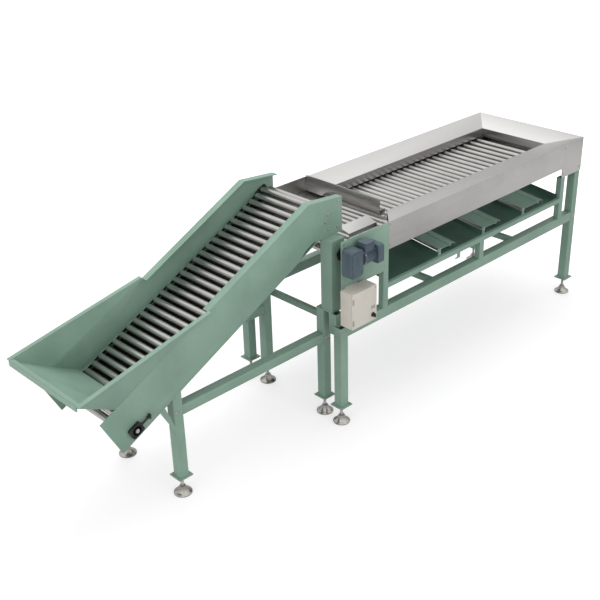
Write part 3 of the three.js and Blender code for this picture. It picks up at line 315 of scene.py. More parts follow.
# a profile of (radius, distance) turned round an axis: P = start + s way + r (cos a side + sin a up)
def turned(profile, start, direction, sides=32, ripple=None):
    way, side, up = axes(direction)
    radius, reach = np.asarray(profile, float).T
    angle = np.arange(sides) * 2 * math.pi / sides
    spread = radius[:, None] * (np.ones(sides) if ripple is None else ripple(angle))[None]
    circle = np.cos(angle)[:, None] * side + np.sin(angle)[:, None] * up
    return rings(np.asarray(start) + reach[:, None, None] * way + spread[..., None] * circle[None])


# an outline of (u, v) points carried from start along a way, with its edges chamfered by a share
def carried(outline, start, across, upward, push, chamfer=0.0):
    flat = np.asarray(outline, float)
    middle = flat.mean(0)
    size = np.abs(flat - middle).max()
    small = middle + (flat - middle) * (1 - chamfer / size)
    depth = np.linalg.norm(push)
    way = np.asarray(push) / depth
    levels = [(flat, 0), (flat, depth)]
    if chamfer:
        levels = [(small, 0), (flat, chamfer), (flat, depth - chamfer), (small, depth)]
    grid = np.stack([np.asarray(start) + ring[:, :1] * across + ring[:, 1:] * upward + level * way
                     for ring, level in levels])
    return rings(grid)


def roundedOutline(width, height, radius, steps=5):
    quarter = np.linspace(0, math.pi / 2, steps)
    corners = [(1, 1, 0), (-1, 1, 1), (-1, -1, 2), (1, -1, 3)]
    return np.concatenate([
        np.stack([sx * (width / 2 - radius) + radius * np.cos(quarter + k * math.pi / 2),
                  sy * (height / 2 - radius) + radius * np.sin(quarter + k * math.pi / 2)], 1)
        for sx, sy, k in corners])


def strip(width, thickness):
    return np.array([[0, 0], [width, 0], [width, thickness], [0, thickness]])


def block(low, high, chamfer=0.001):
    low, high = np.asarray(low, float), np.asarray(high, float)
    width, depth, height = high - low
    outline = roundedOutline(width, depth, min(width, depth) * 0.08 + chamfer, 3)
    return carried(outline, [(low[0] + high[0]) / 2, (low[1] + high[1]) / 2, low[2]], np.array([1, 0, 0]),
                   np.array([0, 1, 0]), [0, 0, height], chamfer)


# a dome head with its washer on a flat place
def bolt(place, direction, radius):
    profile = [(radius * 1.45, 0), (radius * 1.45, radius * 0.18), (radius * 1.05, radius * 0.20),
               (radius * 1.0, radius * 0.45), (radius * 0.78, radius * 0.80),
               (radius * 0.40, radius * 0.98), (radius * 0.12, radius * 1.02)]
    return turned(profile, np.asarray(place, float), direction, 16)


def hexNut(place, direction, radius, height):
    profile = [(radius * 0.90, 0), (radius, height * 0.12), (radius, height * 0.88),
               (radius * 0.90, height)]
    return turned(profile, place, direction, 6)


# the CAD node's own shape with its edges rounded: a merged copy under a Bevel
def softened(node, material, width=0.0016, segments=2):
    source = frame["nodes"][node]
    mesh = source.data.copy()
    work = bmesh.new()
    work.from_mesh(mesh)
    bmesh.ops.remove_doubles(work, verts=work.verts, dist=2e-5)
    bmesh.ops.dissolve_limit(work, angle_limit=math.radians(1.0), verts=work.verts, edges=work.edges)
    work.to_mesh(mesh)
    work.free()
    mesh.materials.clear()
    mesh.materials.append(material)
    for face in mesh.polygons:
        face.use_smooth = True
    piece = bpy.data.objects.new(node + "_look", mesh)
    bpy.context.scene.collection.objects.link(piece)
    bevel = piece.modifiers.new("edges", "BEVEL")
    bevel.width, bevel.segments, bevel.limit_method = width, segments, "ANGLE"
    bevel.angle_limit, bevel.harden_normals = math.radians(32), True
    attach(piece, bodyOf[node])
    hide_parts(node)
    return piece


# The painted frame and the sheet metal
soft = [
    (sagePaint, 0.0014, ["elevator_side_near", "elevator_side_far"]),
    (sagePaint, 0.0010, ["feed_hopper"]),
    (sagePaint, 0.0014, ["motor_plate"]),
    (sagePaint, 0.0028, ["elevator_leg_front_near", "elevator_leg_front_far", "elevator_leg_rear_near",
                         "elevator_leg_rear_far", "elevator_rail_near", "elevator_rail_far",
                         "table_leg_front_near", "table_leg_front_far", "table_leg_rear_near",
                         "table_leg_rear_far", "base_rail_near", "base_rail_far", "base_cross_front",
                         "base_cross_middle", "base_cross_rear"]),
    (sagePaint, 0.0024, ["tray_rail_near", "tray_rail_far"]),
    (troughSteel, 0.0014, ["trough_side_near", "feed_gate", "feed_skirt_near"]),
    (farLitSteel, 0.0014, ["trough_side_far"]),
    (endSteel, 0.0014, ["trough_end"]),
    (chuteShadePaint, 0.0010, ["chute_1", "chute_2", "chute_3", "chute_4"]),
    (boxPaint, 0.0030, ["control_box"]),
    (boxPaint, 0.0036, ["control_box_door"]),
]
for material, width, nodes in soft:
    for node in nodes:
        softened(node, material, width, 3 if width > 0.002 else 2)
print("frame and sheets softened")


# Rollers, their chains and shafts
rollerSet = {"radius": 0.019, "pin": 0.0062, "sides": 28, "linkHeight": 0.0066, "linkThickness": 0.0034}


# a bar's outline to be turned: a pin that reaches out at both ends, and a tube with rounded edges
def rollerProfile(half, reach):
    r, pin = rollerSet["radius"], rollerSet["pin"]
    return [(pin, -reach), (pin, 0.0045 - half), (r - 0.0016, 0.003 - half), (r, 0.0052 - half),
            (r, half - 0.0052), (r - 0.0016, half - 0.003), (pin, half - 0.0045), (pin, reach)]


# rollers at places along a way, with the two chains that carry them
def rollerLadder(node, origin, way, places, half):
    profile = rollerProfile(half, half + 0.006)
    spots = origin + places[:, None] * way
    basePoints, baseFaces = turned(profile, [0, 0, 0], [0, 1, 0], rollerSet["sides"])
    bars = [(basePoints + spot, baseFaces) for spot in spots]
    addPiece(node + "_look", bars, rollerSteel, bodyOf[node], (node,))
    normal = np.cross(way, [0, 1, 0])
    links = []
    for side in (-1, 1):
        for i, (start, end) in enumerate(zip(places[:-1], places[1:])):
            inset = 0.0012 if i % 2 else 0.0066
            outline = roundedOutline(end - start + 0.013, 2 * rollerSet["linkHeight"], 0.0062, 4)
            middle = origin + (start + end) / 2 * way + np.array([0, side * (half + inset), 0])
            links.append(carried(outline, middle, way, normal, [0, side * rollerSet["linkThickness"], 0]))
    for side in (-1, 1):
        ends = turned([(0.0045, 0), (0.0045, 0.0112), (0.0034, 0.0118)],
                      [0, side * half, 0], [0, side, 0], 10)
        links += [(ends[0] + spot, ends[1]) for spot in spots]
    addPiece(node + "_look_chain", links, chainMetal, bodyOf[node])


# a toothed wheel: r(a) = root + tooth (0.5 + 0.5 cos n a)^0.8, flat on both sides, with a hub
def toothed(radius, teeth, centre, y0, y1, tooth=0.006):
    steps = teeth * 8
    ripple = lambda a: 1 + (tooth / radius) * (np.power(0.5 + 0.5 * np.cos(teeth * a), 0.8) - 1)
    rim = turned([(radius, y0), (radius, y1)], centre, [0, 1, 0], steps, ripple)
    middle, wide = (y0 + y1) / 2, (y1 - y0) / 2 + 0.0012
    hub = turned([(radius * 0.42, middle - wide), (radius * 0.46, middle - wide + 0.001),
                  (radius * 0.46, middle + wide - 0.001), (radius * 0.42, middle + wide)],
                 centre, [0, 1, 0], 32)
    return [rim, hub]


# a shaft with the bars that go round it, the two chain discs and the drive's own wheels
def shaftWith(node, centre, radius, angles, half, ends, wheels, phase):
    discInner, discOuter = half + 0.014, half + 0.022
    steel = [turned([(0.0105, ends[0]), (0.012, ends[0] + 0.0015), (0.012, ends[1] - 0.0015),
                     (0.0105, ends[1])], centre, [0, 1, 0], 32)]
    profile = rollerProfile(half, discInner + 0.002)
    for angle in angles:
        spot = centre + radius * (math.cos(angle) * phase[0] + math.sin(angle) * phase[1])
        steel.append(turned(profile, spot, [0, 1, 0], rollerSet["sides"]))
    addPiece(node + "_look", steel, rollerSteel, bodyOf[node], (node,))
    dark = []
    for side in (-1, 1):
        low, high = sorted((side * discInner, side * discOuter))
        dark += toothed(radius + 0.008, 10, centre, low, high, 0.009)
    for wheelRadius, plane, teeth in wheels:
        dark += toothed(wheelRadius + 0.001, teeth, centre, plane - 0.0035, plane + 0.0035, 0.004)
    addPiece(node + "_look_wheels", dark, chainMetal, bodyOf[node])


upperPlaces = elevatorPitch * np.arange(1, 29)
returnPlaces = elevatorPitch * (np.arange(29) + 0.5)
rollerLadder("elevator_rollers_upper", elevatorTail + elevatorRadius * above, along, upperPlaces,
             elevatorHalf)
rollerLadder("elevator_rollers_return", elevatorTail - elevatorRadius * above, along, returnPlaces,
             elevatorHalf)

# a thin dark sheet between the two runs as painted shade: the gaps of the upper run look onto something dark
shadeSheetSet = {"low": 0.075, "high": 1.582, "half": 0.0006, "side": 0.2925}
shadeSheetOutline = [[shadeSheetSet["low"], -shadeSheetSet["half"]], [shadeSheetSet["high"], -shadeSheetSet["half"]],
              [shadeSheetSet["high"], shadeSheetSet["half"]], [shadeSheetSet["low"], shadeSheetSet["half"]]]
shadeSheet = carried(shadeSheetOutline, elevatorTail - [0, shadeSheetSet["side"], 0], along, above, [0, 2 * shadeSheetSet["side"], 0])
addPiece("elevator_shade_sheet", [shadeSheet], chainMetal, "frame")

# the upper run's gaps grow towards the far end, so each chute takes a larger size
sortingSet = {"first": 0.254, "stop": 0.170, "growth": 0.040, "power": 2.5, "returnSteps": 27}
sortingPlaces = [sortingSet["first"]]
while sortingPlaces[-1] < tableEnd - sortingSet["stop"]:
    share = ((sortingPlaces[-1] - tableStart) / tableReach) ** sortingSet["power"]
    sortingPlaces.append(sortingPlaces[-1] + sortingPitch + sortingSet["growth"] * share)
sortingPlaces = np.array(sortingPlaces)
backPlaces = tableStart + tableReach / sortingSet["returnSteps"] * np.arange(1, sortingSet["returnSteps"])
xWay, zWay = np.array([1.0, 0, 0]), np.array([0, 0, 1.0])
rollerLadder("sorting_rollers_upper", shift + tableTop * zWay, xWay, sortingPlaces, tableHalf)
rollerLadder("sorting_rollers_return", shift + (sortingShaftZ - sortingRadius) * zWay, xWay, backPlaces,
             tableHalf)

wrap = np.radians([90, 18, -54])
driveWrap, tailWrap = np.radians([90, 150, 210, 270]), np.radians([90, 0, -90])
driveCentre = shift + np.array([tableStart, 0, sortingShaftZ])
tailCentre = shift + np.array([tableEnd, 0, sortingShaftZ])
shaftWith("elevator_head_shaft", elevatorHead, elevatorRadius, wrap, elevatorHalf,
          (-0.2937, 0.392), [(0.0375, 0.384, 15)], (along, above))
shaftWith("elevator_tail_shaft", elevatorTail, elevatorRadius, math.pi - wrap, elevatorHalf,
          (-0.3263, 0.3263), [], (along, above))
shaftWith("sorting_drive_shaft", driveCentre, sortingRadius, driveWrap, tableHalf,
          (-0.448, 0.454), [(0.045, -0.418, 18), (0.045, 0.384, 18)], (xWay, zWay))
shaftWith("sorting_tail_shaft", tailCentre, sortingRadius, tailWrap, tableHalf,
          (-0.454, 0.454), [], (xWay, zWay))
motorCentre = shift + np.array([0.025, 0, 1.150])
stub = [turned([(0.0105, -0.4723), (0.012, -0.4708), (0.012, -0.4115), (0.0105, -0.410)],
               motorCentre, [0, 1, 0], 32)]
addPiece("motor_sprocket_look", stub + toothed(0.036, 14, motorCentre, -0.4215, -0.4145, 0.004),
         chainMetal, "drive_sprocket", ("motor_sprocket",))
print("rollers and shafts made")


linkSet = {"pitch": 0.0254, "lift": 0.0048, "height": 0.0072, "corner": 0.0034, "thickness": 0.0012,
           "inner": 0.0014, "outer": 0.0026, "pin": 0.0026, "pinHalf": 0.0037}


# links laid along the loop drawn tight round two circles, at equal steps of its length
def chainLoop(node, circles, plane):
    turn = np.linspace(0, 2 * math.pi, 720, endpoint=False)
    way = np.stack([np.cos(turn), np.sin(turn)], 1)
    reaches = np.stack([centre @ way.T + radius for centre, radius in circles])
    best = reaches.argmax(0)
    centres = np.stack([centre for centre, _ in circles])[best]
    radii = np.array([radius for _, radius in circles])[best]
    path = centres + (radii + linkSet["lift"])[:, None] * way
    path = np.concatenate([path, path[:1]])
    length = np.concatenate([[0], np.cumsum(np.linalg.norm(np.diff(path, axis=0), axis=1))])
    count = 2 * int(length[-1] / linkSet["pitch"] / 2 + 0.5)
    marks = np.linspace(0, length[-1], count + 1)
    spots = np.stack([np.interp(marks, length, path[:, k]) for k in (0, 1)], 1)
    parts = []
    for i, (start, end) in enumerate(zip(spots[:-1], spots[1:])):
        chord = end - start
        size = np.linalg.norm(chord)
        across = np.array([chord[0], 0, chord[1]]) / size
        middle = (start + end) / 2
        outline = roundedOutline(size + linkSet["height"], linkSet["height"], linkSet["corner"], 3)
        gap = linkSet["inner"] if i % 2 else linkSet["outer"]
        for side in (-1, 1):
            base = [middle[0], shift[1] + plane + side * gap, middle[1]]
            parts.append(carried(outline, base, across, np.cross(across, [0, 1, 0]),
                                 [0, side * linkSet["thickness"], 0]))
        pin = [(linkSet["pin"], -linkSet["pinHalf"]), (linkSet["pin"], linkSet["pinHalf"])]
        parts.append(turned(pin, [start[0], shift[1] + plane, start[1]], [0, 1, 0], 8))
    addPiece(node + "_look", parts, chainMetal, "frame", (node,))


flat = lambda point: np.array([point[0], point[2]])
chainLoop("drive_chain", [(flat(motorCentre), 0.035), (flat(driveCentre), 0.045)], -0.418)
chainLoop("elevator_chain", [(flat(driveCentre), 0.045), (flat(elevatorHead), 0.0375)], 0.384)


# Bearings and take-up screws
def bearingUnit(node, centre, y, bodyName, size):
    side = 1 if y > 0 else -1
    outward = np.array([0, side, 0])
    face = centre + np.array([0, y, 0])
    depth = size["depth"]
    upward = np.cross(along, [0, 1, 0])
    plate = carried(roundedOutline(size["length"], size["height"], size["corner"]), face, along, upward,
                    outward * depth, 0.0012)
    ring = turned([(size["housing"], 0), (size["housing"], depth * 0.80),
                   (size["housing"] * 0.86, depth * 1.0), (size["housing"] * 0.56, depth),
                   (size["housing"] * 0.52, depth * 0.9), (0.013, depth * 0.9)], face, outward, 36)
    corners = [face + outward * depth * 0.9 + along * a * size["boltX"] + upward * b * size["boltZ"]
               for a in (-1, 1) for b in (-1, 1)]
    parts = [plate, ring] + [bolt(corner, outward, 0.0052) for corner in corners]
    addPiece(node + "_look", parts, castMetal, bodyName, (node,))


headUnit = {"length": 0.096, "height": 0.096, "corner": 0.014, "depth": 0.007, "housing": 0.036,
            "boltX": 0.036, "boltZ": 0.036}
takeUnit = {"length": 0.084, "height": 0.066, "corner": 0.012, "depth": 0.020, "housing": 0.031,
            "boltX": 0.034, "boltZ": 0.024}
for side, sign in (("near", -1), ("far", 1)):
    bearingUnit(f"head_bearing_{side}", elevatorHead, sign * 0.2867, "frame", headUnit)
for side, sign in (("near", -1), ("far", 1)):
    bearingUnit(f"take_up_bearing_{side}", elevatorTail, sign * 0.3003, "take_up", takeUnit)
screws = []
screwSet = {"from": 0.044, "side": 0.311, "nut": 0.044, "bracket": 0.058,
            "bracketHalf": np.array([0.004, 0.0105, 0.014])}
for side in (-1, 1):
    start = elevatorTail + screwSet["from"] * along + np.array([0, side * screwSet["side"], 0])
    bracket = start + screwSet["bracket"] * along
    screws.append(turned([(0.005, 0), (0.0055, 0.001), (0.0055, 0.068), (0.005, 0.069)], start, along, 16))
    screws.append(hexNut(start + screwSet["nut"] * along, along, 0.010, 0.008))
    screws.append(block(bracket - screwSet["bracketHalf"], bracket + screwSet["bracketHalf"]))
addPiece("take_up_screws", screws, chainMetal, "frame")
print("bearings made")


# The levelling feet
def thread(low, high, radius, pitch=0.0022):
    reach = np.arange(low, high, pitch / 2)
    return [(radius - (0.0008 if i % 2 else 0.0), float(s)) for i, s in enumerate(reach)]


footPlaces = {"elevator_front": (-1.145, 0.270), "elevator_rear": (0.011, 0.270),
              "table_front": (0.0, 0.4277), "table_rear": (2.4757, 0.4277)}
footProfile = [(0.050, 0.0), (0.0532, 0.0012), (0.054, 0.003), (0.054, 0.0085), (0.052, 0.0105),
               (0.044, 0.0145), (0.036, 0.0205), (0.029, 0.0285), (0.0235, 0.038), (0.0205, 0.047),
               (0.0190, 0.050), (0.0150, 0.0510), (0.0095, 0.0512)]
for place, (x, y) in footPlaces.items():
    for side, sign in (("near", -1), ("far", 1)):
        base = shift + np.array([x, sign * y, 0])
        node = f"levelling_foot_{place}_{side}"
        parts = [turned(footProfile + thread(0.053, 0.186, 0.009) + [(0.0075, 0.190)], base, zWay, 40),
                 hexNut(base + 0.1097 * zWay, zWay, 0.016, 0.0118),
                 hexNut(base + 0.0513 * zWay, zWay, 0.0145, 0.008)]
        addPiece(node + "_look", parts, footSteel, bodyOf[node], (node,))
print("feet made")


# The geared motor
motorSet = {"axisY": -0.530, "axisZ": 1.150, "radius": 0.0495, "fins": 26, "cover": 0.0595}
axisStart = shift + np.array([0, motorSet["axisY"], motorSet["axisZ"]])
fins = lambda a: 1 - 0.12 * np.power(0.5 - 0.5 * np.cos(motorSet["fins"] * a), 0.45)
r = motorSet["radius"]
cover = motorSet["cover"]
yWay = np.array([0, 1.0, 0])
motorBody = [
    turned([(r * 0.90, 0.0600), (r * 1.00, 0.0640), (r * 1.00, 0.0740), (r * 0.92, 0.0770)], axisStart,
           xWay, 48),
    turned([(r * 0.93, 0.0760), (r, 0.0790), (r, 0.1520), (r * 0.93, 0.1560)], axisStart, xWay, 312, fins),
    carried(roundedOutline(2 * cover, 2 * cover, 0.020, 7), axisStart + [0.1560, 0, 0], yWay, zWay,
            [0.0500, 0, 0], 0.0050),
    carried(roundedOutline(1.6 * cover, 1.6 * cover, 0.016, 6), axisStart + [0.2055, 0, 0], yWay, zWay,
            [0.0060, 0, 0], 0.0020)]
vents = []
for ring, count in ((0.014, 6), (0.027, 12), (0.040, 18)):
    for turn in np.arange(count) * 2 * math.pi / count:
        spot = axisStart + [0.2112, ring * math.cos(turn), ring * math.sin(turn)]
        vents.append(turned([(0.0030, 0), (0.0030, 0.0008)], spot, xWay, 8))
addPiece("motor_vents", vents, blackPlastic, "frame")
addPiece("motor_housing", motorBody, motorPaint, "frame", ("gear_motor",))
gearParts = [
    carried(roundedOutline(0.105, 0.170, 0.022), shift + np.array([0.0075, -0.480, 1.130]), xWay, zWay,
            [0, -0.080, 0], 0.006),
    carried(roundedOutline(0.088, 0.140, 0.018), shift + np.array([0.0075, -0.5595, 1.130]), xWay, zWay,
            [0, -0.0045, 0], 0.002),
    turned([(0.036, -0.4623), (0.042, -0.4640), (0.042, -0.478), (0.038, -0.482)], motorCentre, [0, 1, 0],
           40),
    turned([(0.024, -0.558), (0.026, -0.560), (0.026, -0.5655), (0.022, -0.567)], motorCentre, [0, 1, 0],
           36)]
for dx in (-0.034, 0.034):
    for dz in (-0.056, 0.0, 0.056):
        gearParts.append(bolt(shift + np.array([0.0075 + dx, -0.564, 1.130 + dz]), [0, -1, 0], 0.0046))
terminal = shift + np.array([0.110, -0.530, 1.1375])
gearParts += [block(terminal + [-0.042, -0.037, 0.045], terminal + [0.042, 0.037, 0.088], 0.003),
              block(terminal + [-0.0405, -0.0355, 0.0885], terminal + [0.0405, 0.0355, 0.1015], 0.003)]
gearParts += [bolt(terminal + [a * 0.034, b * 0.029, 0.1013], zWay, 0.0028) for a in (-1, 1)
              for b in (-1, 1)]
gearParts.append(hexNut(terminal + [0.0425, 0, 0.066], xWay, 0.0105, 0.012))
addPiece("motor_gearbox", gearParts, motorPaint, "frame")
flangeBolts = [hexNut(axisStart + [0.0602, 0.046 * math.cos(a), 0.046 * math.sin(a)], xWay, 0.0052, 0.0075)
               for a in np.radians([30, 90, 150, 210, 270, 330])]
flangeBolts += [hexNut(axisStart + [0.1480, 0.0515 * math.cos(a), 0.0515 * math.sin(a)], xWay,
                       0.0040, 0.0080) for a in np.radians([45, 135, 225, 315])]
addPiece("motor_bolts", flangeBolts, footSteel, "frame")
print("motor made")


# The control box, its knob and glands
boxFront = -0.5773
details = [hexNut(shift + np.array([x, -0.5225, 0.7125]), zWay, 0.0112, 0.009) for x in (0.017, 0.083)]
details += [turned([(0.0075, 0), (0.0085, 0.001), (0.0082, 0.010), (0.005, 0.0115)],
                   shift + np.array([x, -0.5225, 0.7115]), -zWay, 24) for x in (0.017, 0.083)]
addPiece("control_box_glands", details, blackPlastic, "frame")
knobCentre = shift + np.array([0.120, -0.5776, 0.772])
grip = lambda a: 1 - 0.05 * (0.5 - 0.5 * np.cos(12 * a))
knobParts = [turned([(0.0150, 0), (0.0150, 0.0025), (0.0138, 0.0035)], knobCentre, [0, -1, 0], 40),
             turned([(0.0132, 0.003), (0.0130, 0.0125), (0.0118, 0.0140)], knobCentre, [0, -1, 0], 96, grip),
             carried(roundedOutline(0.0068, 0.0255, 0.0026), knobCentre + [0, -0.010, 0], xWay, zWay,
                     [0, -0.0138, 0], 0.001)]
addPiece("switch_knob_look", knobParts, blackPlastic, "knob", ("switch_knob",))
doorBits = [carried(roundedOutline(0.034, 0.020, 0.002),
                    shift + np.array([0.122, boxFront + 0.0004, 0.822]), xWay, zWay, [0, -0.0022, 0],
                    0.0006)]
doorBits += [turned([(0.0042, -0.017), (0.0046, -0.016), (0.0046, 0.016), (0.0042, 0.017)],
                    shift + np.array([-0.0505, boxFront - 0.0035, z]), zWay, 20) for z in (0.775, 0.915)]
doorBits += [bolt(shift + np.array([0.141, boxFront, z]), [0, -1, 0], 0.0042) for z in (0.744, 0.946)]
addPiece("control_box_fittings", doorBits, footSteel, "door")
print("control box made")


# Divider flaps: a rod, a blade and a rounded ridge, on the chutes' slope, which starts at its low end
slopeFoot = {"y": -0.438, "z": 0.8423}


def onSlope(points):
    x, y, z = np.asarray(points, float).T
    c, s = math.cos(chuteRise), math.sin(chuteRise)
    return np.stack([x, y * c - z * s + slopeFoot["y"], y * s + z * c + slopeFoot["z"]], 1) + shift


# an outline of (x, z) points carried down the slope between two distances
def acrossSlope(outline, span):
    grid = np.stack([np.stack([outline[:, 0], np.full(len(outline), y), outline[:, 1]], 1) for y in span])
    points, faces = rings(grid)
    return onSlope(points), faces


flapSet = {"places": [(0.917, 1.049), (1.387, 1.546), (1.844, 2.051)], "radius": 0.0248, "above": 0.026,
           "sheet": 0.003, "slack": 0.0006, "blade": (0.016, 0.860), "ridge": (0.0055, 0.8705),
           "caps": ((0.0075, 0.0105), (0.8655, 0.8685))}
for i, (rod, ridge) in enumerate(flapSet["places"], 1):
    r, ridgeZ = flapSet["radius"], flapSet["above"]
    arc = np.linspace(0, math.pi, 25)
    dome = np.stack([np.cos(arc), np.sin(arc)], 1)
    hood = np.concatenate([[ridge, ridgeZ] + r * dome,
                           ([ridge, ridgeZ] + (r - flapSet["sheet"]) * dome)[::-1]])
    plug = [ridge, ridgeZ] + (r - flapSet["sheet"] - flapSet["slack"]) * dome
    blade = np.array([[rod + 0.004, 0.030], [ridge - r + 0.003, 0.0270], [ridge - r + 0.003, 0.0305],
                      [rod + 0.004, 0.0335]])
    sheets = [acrossSlope(hood, flapSet["ridge"]), acrossSlope(blade, flapSet["blade"])]
    addPiece(f"divider_flap_{i}_look", sheets, sagePaint, f"flap_{i}", (f"divider_flap_{i}",))
    caps = [acrossSlope(plug, span) for span in flapSet["caps"]]
    addPiece(f"divider_cap_{i}", caps, blackPlastic, f"flap_{i}")
    points, faces = turned([(0.0070, 0.002), (0.008, 0.003), (0.008, 0.879), (0.0070, 0.880)],
                           [rod, 0, 0.030], [0, 1, 0], 24)
    addPiece(f"divider_rod_{i}", [(onSlope(points), faces)], rollerSteel, f"flap_{i}")
print("divider flaps made")


# Bolts, screws and folded rims
rim = {"width": 0.028, "front": 0.024, "thickness": 0.0035}
frameBolts = []
for y in (-1, 1):
    face = y * 0.3003
    head = [(0.030, 1.360), (0.014, 1.318), (0.033, 1.268), (0.122, 1.420), (0.112, 1.262)]
    frameBolts += [bolt(shift + np.array([x, face, z]), [0, y, 0], 0.0062) for x, z in head]
    frameBolts += [bolt(shift + np.array([x, face, 0.560]), [0, y, 0], 0.0062)
                   for x in (-1.160, -1.130, 0.0, 0.024)]
    for x, cy in footPlaces.values():
        frameBolts += [bolt(shift + np.array([x + a * 0.0385, y * cy + b * 0.0385, 0.1302]), zWay, 0.0048)
                       for a in (-1, 1) for b in (-1, 1)]
    frameBolts += [bolt(shift + np.array([x, y * 0.4580, 0.646]), [0, y, 0], 0.0062)
                   for x in (-0.014, 0.014, 2.463, 2.489)]
addPiece("frame_bolts", frameBolts, footSteel, "frame")
caps = []
for side in (-1, 1):
    middle = shift + np.array([0.040, side * 0.326, 1.2185])
    caps.append(carried(roundedOutline(0.1045, 0.0865, 0.004, 4), middle, xWay, np.array([0, 1.0, 0]),
                        [0, 0, 0.0028], 0.0006))
addPiece("column_caps", caps, sagePaint, "frame")
plateFace = 0.4622
screwPlaces = [(0.402, 1.232), (0.402, 1.090), (2.276, 1.224), (2.276, 1.030), (2.494, 1.224), (2.494, 1.030)]
plateScrews = [bolt(shift + np.array([x, side * plateFace, z]), [0, side, 0], 0.0044)
               for x, z in screwPlaces for side in (-1, 1)]
plateScrews += [bolt(shift + np.array([x, -plateFace, z]), [0, -1, 0], 0.0050)
                for x, z in ((-0.008, 1.232), (0.330, 1.232), (-0.008, 0.972), (0.352, 0.972))]
plateScrews += [bolt(shift + np.array([2.5102, y, z]), [1, 0, 0], 0.0044)
                for y in (-0.430, -0.15, 0.15, 0.430) for z in (1.03, 1.222)]
addPiece("panel_screws", plateScrews, footSteel, "frame")

# the hopper's rims: a flat strip folded outward along each top edge and one along the front
tip, join = np.array([-1.765, -0.322, 0.900]), np.array([-0.890, -0.300, 1.0846])
rims = []
for sign in (-1, 1):
    a, b = shift + tip * [1, -sign, 1], shift + join * [1, -sign, 1]
    way = (b - a) / np.linalg.norm(b - a)
    out = np.array([0, sign, 0])
    outline = strip(rim["width"], rim["thickness"])
    rims.append(carried(outline, a + [0, -sign * 0.002, -0.0005], out, np.cross(out, way) * -sign, b - a))
tipLeft, tipRight = (shift + tip * [1, side, 1] + [0.002, 0, -0.0005] for side in (1, -1))
rims.append(carried(strip(rim["front"], rim["thickness"]), tipLeft, xWay, zWay, tipRight - tipLeft))
addPiece("hopper_rims", rims, sagePaint, "frame")
print("bolts and rims made")


# Floor, light and camera
stageSet = {"floorShade": 0.55, "floorGlow": 0.55, "floorGloss": 0.12, "whiteFrom": 2.2, "whiteTo": 4.5,
            "soft": 0.72, "metalLow": 0.40, "metalHigh": 1.30}
floorMesh = bpy.data.meshes.new("floor")
floorMesh.from_pydata([(-40, -40, 0), (40, -40, 0), (40, 40, 0), (-40, 40, 0)], [], [(0, 1, 2, 3)])
floor = bpy.data.objects.new("floor", floorMesh)
bpy.context.scene.collection.objects.link(floor)
floorShader = Shader("floor")
floorShader.tree.nodes.remove(floorShader.body)
cameraRay, glossyRay, glassRay = floorShader.rays()
away = floorShader.node("ShaderNodeVectorMath", {"operation": "LENGTH"}, {0: floorShader.place}, "Value")
spread = floorShader.ramp(away, stageSet["whiteFrom"], stageSet["whiteTo"])
cameraGlow = stageSet["floorGlow"] + spread * (1.0 - stageSet["floorGlow"])
glossyGlow = stageSet["floorGloss"] + spread * (stageSet["metalLow"] - stageSet["floorGloss"])
glow = (cameraRay + glassRay).clip(0.0, 1.0) * cameraGlow + glossyRay * (1 - cameraRay) * glossyGlow
pale = floorShader.node("ShaderNodeBsdfDiffuse", {}, {"Color": (*[stageSet["floorShade"]] * 3, 1)})
bright = floorShader.node("ShaderNodeEmission", {}, {"Color": (1, 1, 1, 1), "Strength": glow})
both = floorShader.node("ShaderNodeAddShader", {}, {0: pale, 1: bright})
outputNode = next(n for n in floorShader.tree.nodes if n.type == "OUTPUT_MATERIAL")
floorShader.tree.links.new(both.socket, outputNode.inputs["Surface"])
floorMesh.materials.append(floorShader.material)

# The room: plain white to the eye, soft light on the paint, and for the metal lighter upward, in broad fields
world = bpy.data.worlds.new("studio")
bpy.context.scene.world = world
world.use_nodes = True


class Room(Shader):
    def __init__(self, tree):
        self.tree = tree
        self.place = self.node("ShaderNodeTexCoord", {}, {}, "Generated")


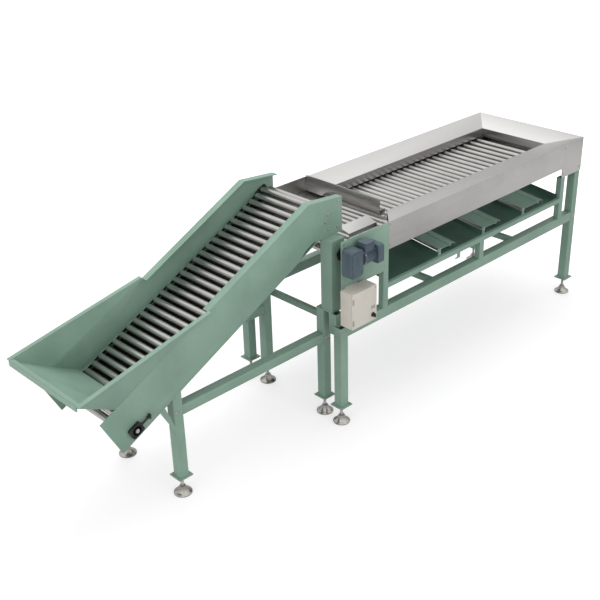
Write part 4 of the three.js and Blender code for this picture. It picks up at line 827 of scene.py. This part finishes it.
room = Room(world.node_tree)
cameraRay, glossyRay, glassRay = room.rays()
eye = (cameraRay + glassRay).clip(0.0, 1.0)
gloss = glossyRay * (1 - eye)
fields = room.ramp(room.noise(1.7, 1.0), 0.30, 0.70)
height = room.node("ShaderNodeSeparateXYZ", {}, {0: room.place}, 2)
rise = room.ramp(height, 0.0, 0.9) * (0.75 + 0.5 * fields)
metalLevel = stageSet["metalLow"] + rise * (stageSet["metalHigh"] - stageSet["metalLow"])
level = eye + gloss * metalLevel + (1 - eye) * (1 - gloss) * stageSet["soft"]
background = room.tree.nodes["Background"]
background.inputs["Color"].default_value = (1, 1, 1, 1)
room.feed(background.inputs["Strength"], level)


def softBox(name, place, target, size, power):
    lamp = bpy.data.lights.new(name, "AREA")
    lamp.shape, lamp.size, lamp.size_y, lamp.energy = "RECTANGLE", size[0], size[1], power
    holder = bpy.data.objects.new(name, lamp)
    holder.location = place
    holder.visible_glossy = False
    holder.rotation_euler = (Vector(target) - Vector(place)).to_track_quat("-Z", "Y").to_euler()
    bpy.context.scene.collection.objects.link(holder)


# place, target, size and power of each lamp
lampSet = {"key": ((-1.5, -6.0, 3.5), (0.2, 0, 0.8), (5.0, 2.5), 105),
           "top": ((1.5, 1.5, 6.0), (0.3, 0, 0.8), (6.0, 4.0), 200),
           "side": ((-6.5, -0.6, 1.4), (-0.5, 0, 0.8), (3.0, 1.6), 80)}
for name, settings in lampSet.items():
    softBox(name, *settings)

cameraSet = {"place": (-4.21035, -4.07505, 3.627), "yaw": 46.65, "pitch": 27.39, "roll": -1.70,
             "lens": 60.756}
yaw, pitch, roll = (math.radians(cameraSet[k]) for k in ("yaw", "pitch", "roll"))
forward = np.array([math.cos(yaw) * math.cos(pitch), math.sin(yaw) * math.cos(pitch), -math.sin(pitch)])
horizon = np.array([math.sin(yaw), -math.cos(yaw), 0])
upward = np.cross(horizon, forward)
rightWay = horizon * math.cos(roll) + upward * math.sin(roll)
upWay = upward * math.cos(roll) - horizon * math.sin(roll)
lens = bpy.data.cameras.new("camera")
lens.lens, lens.sensor_width, lens.sensor_fit, lens.clip_end = cameraSet["lens"], 36, "HORIZONTAL", 200
camera = bpy.data.objects.new("camera", lens)
basis = Matrix(np.stack([rightWay, upWay, -forward], 1).tolist()).to_4x4()
basis.translation = Vector(cameraSet["place"])
camera.matrix_world = basis
bpy.context.scene.collection.objects.link(camera)
bpy.context.scene.camera = camera
bpy.context.scene.view_settings.view_transform = "Standard"
print("stage made")
